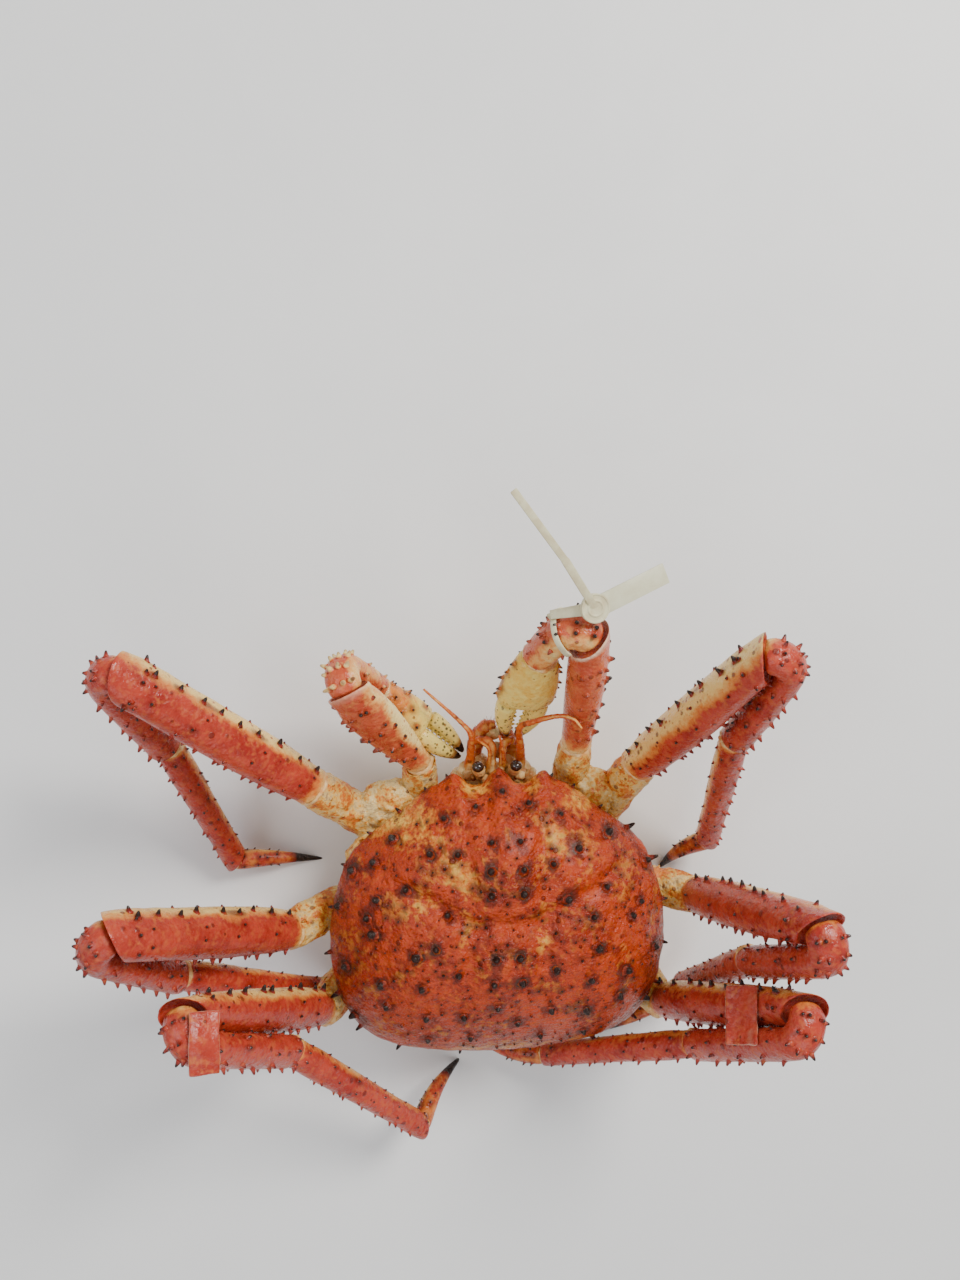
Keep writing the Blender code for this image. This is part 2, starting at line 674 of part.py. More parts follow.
def build_leg(name, pose):
    pair = int(name[-1])
    sign = -1 if "left" in name else 1
    girth = pose["girth"]
    facet = facet_normal(LEG_FACETS[pair], sign)
    hip = facet_middle(LEG_FACETS[pair], sign)
    root = Vector(pose["root"])
    knee = Vector(pose["knee"])
    wrist = Vector(pose["wrist"])
    ankle = Vector(pose["ankle"])
    toe = Vector((*pose["toe"], 0.0))
    m = (knee - root).normalized()
    frame = fold_frame(knee, m, wrist, KNEE_RADIUS, KNEE_SHIFT, KNEE_CUT)
    out, pivot, turn, begin, run = frame
    side = m.cross(out)

    # Base: from the body's facet to the merus, sagging under the carapace's edge
    b = (root - hip).normalized()
    base_end, merus_start = joint_planes(root, b, m)
    half = HIP_HALF
    base_side = across(side, b)
    segment(name + "_base", hip, root, base_side, base_side.cross(b),
            ((0.0, half, half, half), (0.30, half, half, half),
             (0.60, half * 1.04, half, half), (0.82, half * 1.04, half, half),
             (1.0, half * 0.94, half * 0.94, half * 0.94)),
            (hip + facet * GAP, facet), base_end, BASE_CREAM, 10, BASE_SAG)
    row_sites(name + "_base", hip, root, base_side, base_side.cross(b), BASE_ROWS)

    # Merus: long and straight, its far end cut slantwise on the flexor side
    wide = MERUS_WIDE * girth
    deep = MERUS_DEEP * girth
    cut_normal = m * math.cos(KNEE_CUT) - out * math.sin(KNEE_CUT)
    segment(name + "_merus", root, knee, side, out,
            ((0.0, wide * 0.84, deep * 0.86, deep * 0.80),
             (0.10, wide * 0.93, deep * 0.95, deep * 0.86),
             (0.34, wide * 1.02, deep * 1.02, deep * 0.88),
             (0.62, wide * 1.02, deep * 1.02, deep * 0.84),
             (0.85, wide * 1.00, deep * 0.98, deep * 0.60),
             (1.0, wide * 0.92, deep * 0.80, deep * 0.50)),
            merus_start, (knee, cut_normal), LEG_RED)
    row_sites(name + "_merus", root, knee, side, out, MERUS_ROWS)
    front = side if side.y > 0 else -side
    for degrees in MERUS_END_SPINES:
        angle = math.radians(degrees)
        way = front * math.cos(angle) + out * math.sin(angle)
        spine_sites[name + "_merus"].append((root.lerp(knee, 0.955), way, m, "tall"))

    # Carpus: turns over at the knee, then runs back beside the merus
    propodus_run = (ankle - wrist).normalized()
    carpus_end, propodus_start = joint_planes(wrist, run, propodus_run)
    offset = cut_normal * GAP
    shifted = (out, pivot + offset, turn, begin + offset, run)
    rings, outward = folded_rings(shifted, m, side, wrist, KNEE_CUT, KNEE_RADIUS,
                                  CARPUS_WIDE * girth, CARPUS_DEEP * girth,
                                  ((0.35, 1.04, 1.0, 0.80), (0.72, 1.02, 1.0, 0.80),
                                   (1.0, 0.94, 0.94, 0.76)))
    rings[-1] = trim(rings[-1], run, *carpus_end)
    add_object(name + "_carpus", loft(rings), LEG_RED)
    row_sites(name + "_carpus", begin, wrist, side, outward, CARPUS_ROWS)
    bend_sites(name + "_carpus", shifted, m, side, KNEE_RADIUS, KNEE_CUT, (100, 140))

    # Propodus: slender, slightly waisted
    d = (toe - ankle).normalized()
    p_side = across(side, propodus_run)
    propodus_end, dactyl_start = joint_planes(ankle, propodus_run, d)
    wide = PROPODUS_WIDE * girth
    deep = PROPODUS_DEEP * girth
    p_out = p_side.cross(propodus_run)
    if p_out.z < 0:
        p_out = -p_out
    segment(name + "_propodus", wrist, ankle, p_side, p_out,
            ((0.0, wide * 1.05, deep, deep * 0.94),
             (0.12, wide * 1.12, deep * 1.06, deep * 1.0),
             (0.50, wide * 1.0, deep * 0.98, deep * 0.94),
             (0.84, wide * 0.94, deep * 0.92, deep * 0.88),
             (1.0, wide * 0.95, deep * 0.94, deep * 0.90)),
            propodus_start, propodus_end, LEG_RED, 8)
    row_sites(name + "_propodus", wrist, ankle, p_side, p_out, PROPODUS_ROWS)

    # Dactyl: a bowed claw that ends in a small flat on the floor
    d_side = across(side, d)
    up = d_side.cross(d)
    if up.z < 0:
        up = -up
    rings = []
    for share, size in ((0.0, 1.0), (0.14, 0.98), (0.36, 0.84), (0.60, 0.64), (0.82, 0.40)):
        centre = ankle.lerp(toe, share) + up * (0.0030 * math.sin(math.pi * share))
        half = DACTYL_HALF * size
        rings.append(section(centre, d_side, up, half, half * 1.08, half, 8))
    rings[0] = trim(rings[0], d, *dactyl_start)
    tip = section(toe - d * 0.001, d_side, up, TOE_HALF, TOE_HALF, TOE_HALF, 8)
    rings.append(trim(tip, d, Vector((0, 0, 0)), Vector((0, 0, 1))))
    add_object(name + "_dactyl", loft(rings), LEG_RED)
    row_sites(name + "_dactyl", ankle, toe, d_side, up, DACTYL_ROWS)


for leg_name, leg_pose in LEG_POSES.items():
    build_leg(leg_name, leg_pose)


# Claws

def build_claw(name, pose):
    """Builds one claw and hands back the frame of its folded carpus."""
    girth = pose["girth"]
    sign = -1 if "left" in name else 1
    facet = facet_normal(CLAW_FACET, sign)
    hip = facet_middle(CLAW_FACET, sign)
    root = Vector(pose["root"])
    elbow = Vector(pose["elbow"])
    wrist = Vector(pose["wrist"])
    tips = Vector(pose["tips"])
    m = (elbow - root).normalized()
    frame = fold_frame(elbow, m, wrist, CLAW_RADIUS, CLAW_SHIFT, CLAW_CUT)
    out, pivot, turn, begin, run = frame
    side = m.cross(out)
    b = (root - hip).normalized()
    base_end, merus_start = joint_planes(root, b, m)
    half = CLAW_HIP_HALF
    base_side = across(side, b)
    segment(name + "_base", hip, root, base_side, base_side.cross(b),
            ((0.0, half, half, half), (0.4, half * 1.02, half * 1.02, half * 1.02),
             (1.0, half * 0.86, half * 0.86, half * 0.86)),
            (hip + facet * GAP, facet), base_end, BASE_CREAM)
    first = CLAW_MERUS_START * girth
    last = CLAW_MERUS_END * girth
    cut_normal = m * math.cos(CLAW_CUT) - out * math.sin(CLAW_CUT)
    segment(name + "_merus", root, elbow, side, out,
            ((0.0, first, first, first), (0.25, first * 1.12, first * 1.1, first),
             (0.60, last * 0.92, last * 0.90, last * 0.66),
             (0.86, last, last * 0.96, last * 0.66),
             (1.0, last, last * 0.84, last * 0.62)),
            merus_start, (elbow, cut_normal), LEG_RED)
    row_sites(name + "_merus", root, elbow, side, out, CLAW_MERUS_ROWS)
    w = (tips - wrist).normalized()
    carpus_end, palm_start = joint_planes(wrist, run, w)
    offset = cut_normal * GAP
    shifted = (out, pivot + offset, turn, begin + offset, run)
    carpus_half = CLAW_CARPUS_HALF * girth
    rings, outward = folded_rings(shifted, m, side, wrist, CLAW_CUT, CLAW_RADIUS,
                                  carpus_half, carpus_half, ((1.0, 0.88, 0.86, 0.62),))
    rings[-1] = trim(rings[-1], run, *carpus_end)
    add_object(name + "_carpus", loft(rings), LEG_RED)
    bend_sites(name + "_carpus", shifted, m, side, CLAW_RADIUS, CLAW_CUT, (70, 100, 150))

    # Palm with the fixed finger in one piece, movable finger beside it
    broad = across(Vector(pose["broad"]), w)
    thin = w.cross(broad)
    length = (tips - wrist).length
    palm_end = wrist + w * length * PALM_SHARE
    wide = pose["palm_wide"]
    deep = PALM_DEEP * girth
    palm = segment(name + "_palm", wrist, palm_end, broad, thin,
                   ((0.0, wide * 0.62, deep * 0.80, deep * 0.80),
                    (0.34, wide * 0.86, deep, deep), (0.75, wide, deep, deep),
                    (1.0, wide * 0.97, deep * 0.85, deep * 0.85)),
                   palm_start, (palm_end, w), FINGER_YELLOW)
    row_sites(name + "_palm", wrist, palm_end, broad, thin, PALM_ROWS)
    finger = FINGER_HALF * girth
    for part, way in (("fixed", -1), ("finger", 1)):
        begin_share = -0.12 if part == "fixed" else 0.0
        rings = []
        for share, size in ((begin_share, 1.0), (0.3, 1.0), (0.65, 0.80), (0.90, 0.46), (1.0, 0.20)):
            inward = 1 - 0.66 * max(0.0, share) ** 2
            centre = palm_end + w * (length * (1 - PALM_SHARE) * share)
            centre += broad * (way * wide * 0.52 * inward)
            if part == "finger":
                centre += w * GAP
            rings.append(section(centre, broad, thin, finger * size, finger * size * 1.15,
                                 finger * size * 1.15, 8))
        if part == "fixed":
            fuse(palm, [add_object("fixed", loft(rings))])
        else:
            add_object(name + "_finger", loft(rings), FINGER_YELLOW)
    return shifted, m, side, carpus_half


claw_frames = {}
for claw_name, claw_pose in CLAW_POSES.items():
    claw_frames[claw_name] = build_claw(claw_name, claw_pose)


# Head, eyes, feelers and mouthparts

head_rings = []
for y, half_width, low, high in HEAD_RINGS:
    centre = Vector((0, y, (low + high) / 2))
    half = (high - low) / 2
    head_rings.append(section(centre, Vector((1, 0, 0)), Vector((0, 0, 1)), half_width, half, half, 12, 4.0))
add_object("head", loft(head_rings), BASE_CREAM)


def bent_rod(name, points, colour, sides=8):
    """A round rod through a row of (point, half thickness), its root flat on the head's front."""
    rings = []
    places = [Vector(p) for p, _ in points]
    for i, (_, half) in enumerate(points):
        before = places[max(0, i - 1)]
        after = places[min(len(places) - 1, i + 1)]
        along = (after - before).normalized()
        side = along.cross(Vector((0, 0, 1))).normalized()
        rings.append(section(places[i], side, side.cross(along), half, half, half, sides, 2.0))
    first = (places[1] - places[0]).normalized()
    front = Vector((0, HEAD_FRONT_Y + GAP, 0))
    rings[0] = trim(rings[0], first, front, Vector((0, 1, 0)))
    return add_object(name, loft(rings), colour)


for rod_name, rod_points in HEAD_RODS.items():
    colour = EYE_BROWN if "eye" in rod_name else FEELER_ORANGE
    bent_rod(rod_name, rod_points, colour)


# Tag on the right claw

def bar(start, end, broad, half, thick):
    """A flat closed bar between two points."""
    along = (end - start).normalized()
    wide = across(broad, along)
    thin = along.cross(wide)
    rings = []
    for centre in (start, end):
        rings.append([centre + wide * (half * a) + thin * (thick / 2 * b)
                      for a, b in ((1, 1), (-1, 1), (-1, -1), (1, -1))])
    return loft(rings)


def disc(centre, axis, radius, thick, sides=20):
    """A flat closed disc."""
    side = axis.orthogonal().normalized()
    other = axis.cross(side)
    rings = []
    for lift in (-thick / 2, thick / 2):
        rings.append([centre + axis * lift + side * (radius * math.cos(2 * math.pi * i / sides))
                      + other * (radius * math.sin(2 * math.pi * i / sides)) for i in range(sides)])
    return loft(rings)


def build_tag():
    (out, pivot, turn, begin, run), m, side, half = claw_frames["claw_right"]
    share = (BAND_TURN - CLAW_CUT) / (turn - CLAW_CUT)
    outward = m * math.sin(BAND_TURN) + out * math.cos(BAND_TURN)
    along = m * math.cos(BAND_TURN) - out * math.sin(BAND_TURN)
    centre = pivot + outward * CLAW_RADIUS
    wide = half * (0.90 + 0.10 * share)
    outer = half * (0.84 + 0.10 * share)
    inner = half * 0.72
    near = 0.0012
    far = near + BAND_THICK
    inside = section(centre, side, outward, wide + near, outer + near, inner + near, 20)
    outside = section(centre, side, outward, wide + far, outer + far, inner + far, 20)
    rings = []
    for a, b in zip(inside, outside):
        if (b - centre).dot(outward) > -0.7 * inner:
            rings.append([a - along * BAND_HALF, b - along * BAND_HALF,
                          b + along * BAND_HALF, a + along * BAND_HALF])
    first_open = next(i for i, b in enumerate(outside) if (b - centre).dot(outward) <= -0.7 * inner)
    rings = rings[first_open:] + rings[:first_open]
    strap = add_object("tag_strap", loft(rings), TAG_CREAM)
    top = centre + outward * (outer + near + BAND_THICK * 0.5)
    lifted = top + outward * 0.0036
    face = across(Vector((0, 0, 1)), (BOSS - lifted).normalized())
    axis = across(Vector((0, -0.2, 1)), (LABEL_END - BOSS).normalized())
    broad = (LABEL_END - BOSS).normalized().cross(axis)
    tail_broad = Vector((0.8, 0.55, 0))
    tail_start = TAIL_BEND + (BOSS - TAIL_BEND).normalized() * 0.001
    fuse(strap, [
        add_object("post", bar(top, lifted, along, BAND_HALF * 1.2, TAG_THICK)),
        add_object("bar", bar(lifted - outward * 0.0006, BOSS, (BOSS - lifted).cross(face), 0.0021, TAG_THICK)),
        add_object("boss", disc(BOSS, axis, BOSS_RADIUS, TAG_THICK * 1.6)),
        add_object("tail", bar(BOSS, TAIL_BEND, tail_broad, 0.0019, TAG_THICK)),
        add_object("tail", bar(tail_start, TAIL_TIP, tail_broad, 0.0017, TAG_THICK * 0.8)),
    ])
    along = (LABEL_END - BOSS).normalized()
    start = BOSS + along * (BOSS_RADIUS + GAP)
    add_object("tag_label", bar(start, LABEL_END, broad, LABEL_HALF, TAG_THICK), TAG_CREAM)


build_tag()
set_spines()
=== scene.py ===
# %% [markdown]
# Red king crab, cooked, as a life-size still model.
# The real animal is a shell of plates: a domed back, three pairs of long legs that fold over
# themselves at the knee, two unequal claws, and a small head tucked under a beak. It could
# be sculpted in one lump, but here every plate is a piece of its own, as on the animal, so
# that each can be shaped, coloured and replaced by itself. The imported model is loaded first
# and stays the frame: every piece below is built where its solid stands.

# %% Load the frame
import json
import math
import random

import bmesh
import bpy
from mathutils import Matrix, Vector
from mathutils.bvhtree import BVHTree
from mathutils.kdtree import KDTree

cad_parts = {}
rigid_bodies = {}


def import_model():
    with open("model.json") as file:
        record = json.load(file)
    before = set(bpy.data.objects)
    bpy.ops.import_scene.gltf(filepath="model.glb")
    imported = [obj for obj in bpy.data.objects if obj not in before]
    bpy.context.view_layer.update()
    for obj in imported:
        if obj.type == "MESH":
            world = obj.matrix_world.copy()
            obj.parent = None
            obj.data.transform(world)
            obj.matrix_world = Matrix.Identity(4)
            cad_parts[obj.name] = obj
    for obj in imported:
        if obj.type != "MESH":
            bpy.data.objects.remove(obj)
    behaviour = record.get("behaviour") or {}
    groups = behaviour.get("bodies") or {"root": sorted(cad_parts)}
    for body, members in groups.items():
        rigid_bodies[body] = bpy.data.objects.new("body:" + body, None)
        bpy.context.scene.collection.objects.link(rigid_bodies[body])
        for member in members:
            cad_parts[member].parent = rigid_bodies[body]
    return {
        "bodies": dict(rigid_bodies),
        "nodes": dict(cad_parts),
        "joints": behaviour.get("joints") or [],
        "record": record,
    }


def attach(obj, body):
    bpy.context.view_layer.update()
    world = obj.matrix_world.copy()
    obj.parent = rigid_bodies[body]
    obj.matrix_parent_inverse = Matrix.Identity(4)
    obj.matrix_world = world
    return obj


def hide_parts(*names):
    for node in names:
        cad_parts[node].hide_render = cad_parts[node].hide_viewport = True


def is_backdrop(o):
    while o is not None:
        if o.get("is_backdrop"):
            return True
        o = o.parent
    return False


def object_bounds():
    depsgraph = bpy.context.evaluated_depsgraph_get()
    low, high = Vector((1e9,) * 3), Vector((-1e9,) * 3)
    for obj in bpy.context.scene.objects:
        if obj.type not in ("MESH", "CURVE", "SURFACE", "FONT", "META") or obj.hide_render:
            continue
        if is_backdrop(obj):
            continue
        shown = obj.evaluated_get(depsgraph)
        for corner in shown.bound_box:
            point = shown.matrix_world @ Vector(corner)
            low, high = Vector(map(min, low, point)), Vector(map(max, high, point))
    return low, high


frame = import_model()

BODY = next(iter(frame["bodies"]))
solid_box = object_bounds()
bpy.ops.object.select_all(action="DESELECT")
print("body", BODY, "nodes", len(frame["nodes"]), "box", solid_box)

# %% [markdown]
# Camera.
# The picture looks almost straight down from over the claws and a little to the left, close
# enough for the perspective to show: what stands higher looks larger. The place and the
# turn are given as numbers, because they were worked out from the way that the shell's
# known width and the legs' joints fall in the picture.

# %% Set the camera
CAMERA_PLACE = Vector((-0.0542, 0.1684, 0.5655))
CAMERA_BACK = Vector((-0.090, 0.043, 0.995)).normalized()
CAMERA_UP = Vector((0.021, 0.999, -0.041))
CAMERA_LENS = 27.06

lens = bpy.data.cameras.new("view")
lens.lens = CAMERA_LENS
lens.sensor_width = 36.0
view = bpy.data.objects.new("view", lens)
bpy.context.scene.collection.objects.link(view)
right = CAMERA_UP.cross(CAMERA_BACK).normalized()
up = CAMERA_BACK.cross(right)
turn_matrix = Matrix((right, up, CAMERA_BACK)).transposed().to_4x4()
view.matrix_world = Matrix.Translation(CAMERA_PLACE) @ turn_matrix
bpy.context.scene.camera = view
print("camera", [round(c, 3) for c in view.matrix_world.translation])

# %% [markdown]
# Floor and light.
# A shell is glossy, so what lights it is seen in it. Large soft lamps give the broad
# highlights of a room with a window: the strongest stands before the head and to the
# right, weaker ones fill the left and the tail's side, and the sky fills the rest. The
# floor is one pale plane, large enough to end out of sight, with the faintest unevenness so
# that it doesn't look like paper.

# %% Lay the floor and hang the lights
bpy.ops.mesh.primitive_plane_add(size=8.0, location=(0, 0, 0))
floor = bpy.context.object
floor.name = "floor"
floor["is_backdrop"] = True

LIGHTS = {
    "key": ((0.75, 0.95, 1.15), 0.6, 29.0, (1.0, 0.97, 0.92)),
    "fill": ((-1.10, 0.10, 1.10), 1.0, 8.0, (0.93, 0.96, 1.0)),
    "near": ((0.10, -0.95, 1.20), 1.0, 6.0, (1.0, 0.98, 0.95)),
}
for lamp_name, (place, size, power, colour) in LIGHTS.items():
    lamp = bpy.data.lights.new(lamp_name, "AREA")
    lamp.shape = "DISK"
    lamp.size = size
    lamp.energy = power
    lamp.color = colour
    holder = bpy.data.objects.new(lamp_name, lamp)
    bpy.context.scene.collection.objects.link(holder)
    holder.location = place
    holder.rotation_euler = (Vector((0, 0, 0.05)) - Vector(place)).to_track_quat("-Z", "Y").to_euler()

sky = bpy.data.worlds.new("sky")
sky.use_nodes = True
sky.node_tree.nodes["Background"].inputs["Color"].default_value = (0.92, 0.95, 1.0, 1.0)
sky.node_tree.nodes["Background"].inputs["Strength"].default_value = 0.45
bpy.context.scene.world = sky
print("lights", len(LIGHTS))

# %% [markdown]
# Shared effects.
# The same few things make a cooked shell look real: clouds of deeper and paler colour,
# small round specks, and a fine grain in the gloss. Each could be built again in every
# material, but a node group keeps it in one place. The groups give masks and heights only;
# the colours and the shader stay in each material.

# %% A short way to add nodes
def add_node(tree, kind, values=None, **settings):
    """Adds a node, sets its properties and then its inputs by name or number."""
    made = tree.nodes.new(kind)
    for key, value in settings.items():
        setattr(made, key, value)
    for key, value in (values or {}).items():
        made.inputs[key].default_value = value
    return made


def join_sockets(tree, *links):
    """Links outputs to inputs: (node, output, node, input)."""
    for start, output, end, socket in links:
        tree.links.new(start.outputs[output], end.inputs[socket])


def new_group(name, values, output):
    """An empty node group with a vector, some numbers that have a value, and one output."""
    tree = bpy.data.node_groups.new(name, "ShaderNodeTree")
    tree.interface.new_socket("Vector", in_out="INPUT", socket_type="NodeSocketVector")
    for key, value in values.items():
        socket = tree.interface.new_socket(key, in_out="INPUT", socket_type="NodeSocketFloat")
        socket.default_value = value
    tree.interface.new_socket(output, in_out="OUTPUT", socket_type="NodeSocketFloat")
    return tree, tree.nodes.new("NodeGroupInput"), tree.nodes.new("NodeGroupOutput")


# %% Clouds: a soft mask of patches
def make_clouds():
    """A group whose mask rises from its low to its high value over soft noise."""
    tree, start, end = new_group("clouds", {"Scale": 60.0, "Low": 0.4, "High": 0.6}, "Mask")
    noise = add_node(tree, "ShaderNodeTexNoise", {"Detail": 5.0, "Roughness": 0.6, "Distortion": 0.35})
    span = add_node(tree, "ShaderNodeMapRange", interpolation_type="SMOOTHSTEP")
    join_sockets(tree, (start, "Vector", noise, "Vector"), (start, "Scale", noise, "Scale"),
                 (noise, "Fac", span, "Value"), (start, "Low", span, "From Min"),
                 (start, "High", span, "From Max"), (span, "Result", end, "Mask"))
    return tree


# %% Specks: small round spots of uneven size
def make_specks():
    """A group whose mask is 1 in the middle of each cell's spot; a cell's colour sets its size."""
    tree, start, end = new_group("specks", {"Scale": 300.0, "Size": 0.3}, "Mask")
    cells = add_node(tree, "ShaderNodeTexVoronoi", {"Randomness": 1.0})
    uneven = add_node(tree, "ShaderNodeMath", operation="MULTIPLY")
    edge = add_node(tree, "ShaderNodeMath", {1: 0.55}, operation="MULTIPLY")
    span = add_node(tree, "ShaderNodeMapRange", {"To Min": 1.0, "To Max": 0.0},
                    interpolation_type="SMOOTHSTEP")
    parts = add_node(tree, "ShaderNodeSeparateColor")
    join_sockets(tree, (start, "Vector", cells, "Vector"), (start, "Scale", cells, "Scale"),
                 (cells, "Color", parts, "Color"), (parts, 0, uneven, 0), (start, "Size", uneven, 1),
                 (uneven, 0, edge, 0), (cells, "Distance", span, "Value"), (edge, 0, span, "From Min"),
                 (uneven, 0, span, "From Max"), (span, "Result", end, "Mask"))
    return tree


# %% Grain: a height of fine bumps and pits
def make_grain():
    """A group whose height is noise plus or less a share of the cells' pits."""
    tree, start, end = new_group("grain", {"Scale": 500.0, "Pits": 0.4}, "Height")
    noise = add_node(tree, "ShaderNodeTexNoise", {"Detail": 4.0, "Roughness": 0.55})
    cells = add_node(tree, "ShaderNodeTexVoronoi", {"Randomness": 1.0})
    weigh = add_node(tree, "ShaderNodeMath", operation="MULTIPLY")
    total = add_node(tree, "ShaderNodeMath", operation="ADD")
    join_sockets(tree, (start, "Vector", noise, "Vector"), (start, "Vector", cells, "Vector"),
                 (start, "Scale", noise, "Scale"), (start, "Scale", cells, "Scale"),
                 (cells, "Distance", weigh, 0), (start, "Pits", weigh, 1), (noise, "Fac", total, 0),
                 (weigh, 0, total, 1), (total, 0, end, "Height"))
    return tree


clouds = make_clouds()
specks = make_specks()
grain = make_grain()
print("groups", clouds.name, specks.name, grain.name)

# %% [markdown]
# The finish of the shell.
# A boiled shell is orange to pinkish red, deeper in patches, cream where it is thin and
# along the upper edges of the limbs, with red-brown specks on the cream, and its spines end
# in near-black points. Each plate carries four values of its own on its points: pale (where
# the cream is), tip (how far up a spine), rim (bare, whitish edges) and spot (the stain
# round a spine's foot). Noise breaks their borders up, so that nothing looks masked.

# %% Nodes that a material is made of
def use_group(tree, group, vector, values):
    """Puts a group into a tree and gives its only output."""
    made = add_node(tree, "ShaderNodeGroup", node_tree=group)
    for key, value in values.items():
        made.inputs[key].default_value = value
    tree.links.new(vector, made.inputs["Vector"])
    return made.outputs[0]


def blend_colour(tree, first, second, factor):
    """Mixes two colours, each a value or an output, by a mask."""
    made = add_node(tree, "ShaderNodeMix", data_type="RGBA")
    for number, colour in ((6, first), (7, second)):
        if isinstance(colour, tuple):
            made.inputs[number].default_value = (*colour, 1.0)
        else:
            tree.links.new(colour, made.inputs[number])
    tree.links.new(factor, made.inputs[0])
    return made.outputs[2]


def calculate(tree, kind, first, second):
    """A sum, difference or product of two numbers, each a value or an output."""
    made = add_node(tree, "ShaderNodeMath", operation=kind)
    for number, value in ((0, first), (1, second)):
        if isinstance(value, (int, float)):
            made.inputs[number].default_value = value
        else:
            tree.links.new(value, made.inputs[number])
    return made.outputs[0]


def plus(tree, first, second):
    return calculate(tree, "ADD", first, second)


def times(tree, first, second):
    return calculate(tree, "MULTIPLY", first, second)


def ramp(tree, value, low, high, to_low=0.0, to_high=1.0):
    """Carries a value smoothly from one span to another."""
    made = add_node(tree, "ShaderNodeMapRange", {"From Min": low, "From Max": high,
                                                 "To Min": to_low, "To Max": to_high},
                    interpolation_type="SMOOTHSTEP")
    tree.links.new(value, made.inputs["Value"])
    return made.outputs["Result"]


def darker(colour, share):
    """The colour at a share of its brightness."""
    return tuple(c * share for c in colour)


def add_relief(tree, shader, height, strength, distance):
    """Lets a height show in the surface's normal."""
    relief = add_node(tree, "ShaderNodeBump", {"Strength": strength, "Distance": distance})
    tree.links.new(height, relief.inputs["Height"])
    tree.links.new(relief.outputs["Normal"], shader.inputs["Normal"])


def new_finish(name):
    """A material's tree and shader, and the place on the object that its textures read."""
    finish = bpy.data.materials.new(name)
    finish.use_nodes = True
    tree = finish.node_tree
    place = add_node(tree, "ShaderNodeTexCoord").outputs["Object"]
    return finish, tree, tree.nodes["Principled BSDF"], place


# %% The shell's material
DARK_TIP = (0.022, 0.010, 0.007)
STAIN_CORE = (0.060, 0.018, 0.010)
RIM_WHITE = (0.80, 0.58, 0.40)


def shell_finish(name, ground, deep, middle, pale, speck, gloss=0.30, cloud_scale=55.0, grain_scale=520.0,
                 speck_scale=330.0, dot_scale=150.0, bump=0.0005, mottling=0.35, broken=0.32,
                 speck_size=0.46, shine=0.36, coat=0.10):
    """A cooked shell in its own colours, read from the values pale, tip, rim and spot of the points."""
    finish, tree, shader, place = new_finish(name)
    marks = {key: add_node(tree, "ShaderNodeAttribute", attribute_name=key).outputs["Fac"]
             for key in ("pale", "tip", "rim", "spot")}
    patches = use_group(tree, clouds, place, {"Scale": cloud_scale, "Low": 0.38, "High": 0.66})
    fine = use_group(tree, clouds, place, {"Scale": cloud_scale * 5.5, "Low": 0.25, "High": 0.75})
    mottle = use_group(tree, clouds, place, {"Scale": cloud_scale * 2.3, "Low": 0.47, "High": 0.66})
    spots = use_group(tree, specks, place, {"Scale": speck_scale, "Size": speck_size})
    dots = use_group(tree, specks, place, {"Scale": dot_scale, "Size": 0.30})
    lifted_ground = tuple(min(1.0, g * 0.6 + m * 0.4) for g, m in zip(ground, middle))
    shifted = times(tree, calculate(tree, "SUBTRACT", plus(tree, fine, patches), 1.0), broken)
    ragged = plus(tree, marks["pale"], shifted)
    thick = times(tree, ramp(tree, marks["pale"], 0.55, 1.0), 0.85)
    stained = ramp(tree, plus(tree, marks["spot"], shifted), 0.18, 0.85)
    core = ramp(tree, plus(tree, marks["spot"], times(tree, shifted, 0.30)), 0.98, 1.14)
    around = ramp(tree, marks["tip"], 0.02, 0.35)
    point = ramp(tree, plus(tree, marks["tip"], times(tree, shifted, 0.5)), 0.36, 0.58)
    colour = blend_colour(tree, ground, deep, patches)
    for layer, mask in (
        (darker(deep, 0.72), times(tree, mottle, mottling)),
        (lifted_ground, times(tree, ramp(tree, fine, 0.45, 0.95), 0.55)),
        (middle, ramp(tree, ragged, 0.10, 0.48)),
        (pale, ramp(tree, ragged, 0.38, 0.88)),
        (speck, times(tree, spots, thick)),
        (darker(deep, 0.35), times(tree, dots, 0.75)),
        (RIM_WHITE, times(tree, marks["rim"], 0.8)),
        (darker(deep, 0.42), times(tree, stained, 0.80)),
        (STAIN_CORE, times(tree, core, 0.88)),
        (darker(deep, 0.40), times(tree, around, 0.8)),
        (DARK_TIP, point),
    ):
        colour = blend_colour(tree, colour, layer, mask)
    tree.links.new(colour, shader.inputs["Base Color"])
    tree.links.new(ramp(tree, fine, 0.1, 0.9, gloss - 0.08, gloss + 0.18), shader.inputs["Roughness"])
    shader.inputs["Specular IOR Level"].default_value = shine
    shader.inputs["Coat Weight"].default_value = coat
    shader.inputs["Coat Roughness"].default_value = 0.15
    height = use_group(tree, grain, place, {"Scale": grain_scale, "Pits": -0.5})
    broad = use_group(tree, grain, place, {"Scale": grain_scale * 0.30, "Pits": -0.5})
    height = plus(tree, plus(tree, height, times(tree, dots, 0.9)), times(tree, broad, 1.8))
    add_relief(tree, shader, height, 0.85, bump)
    return finish


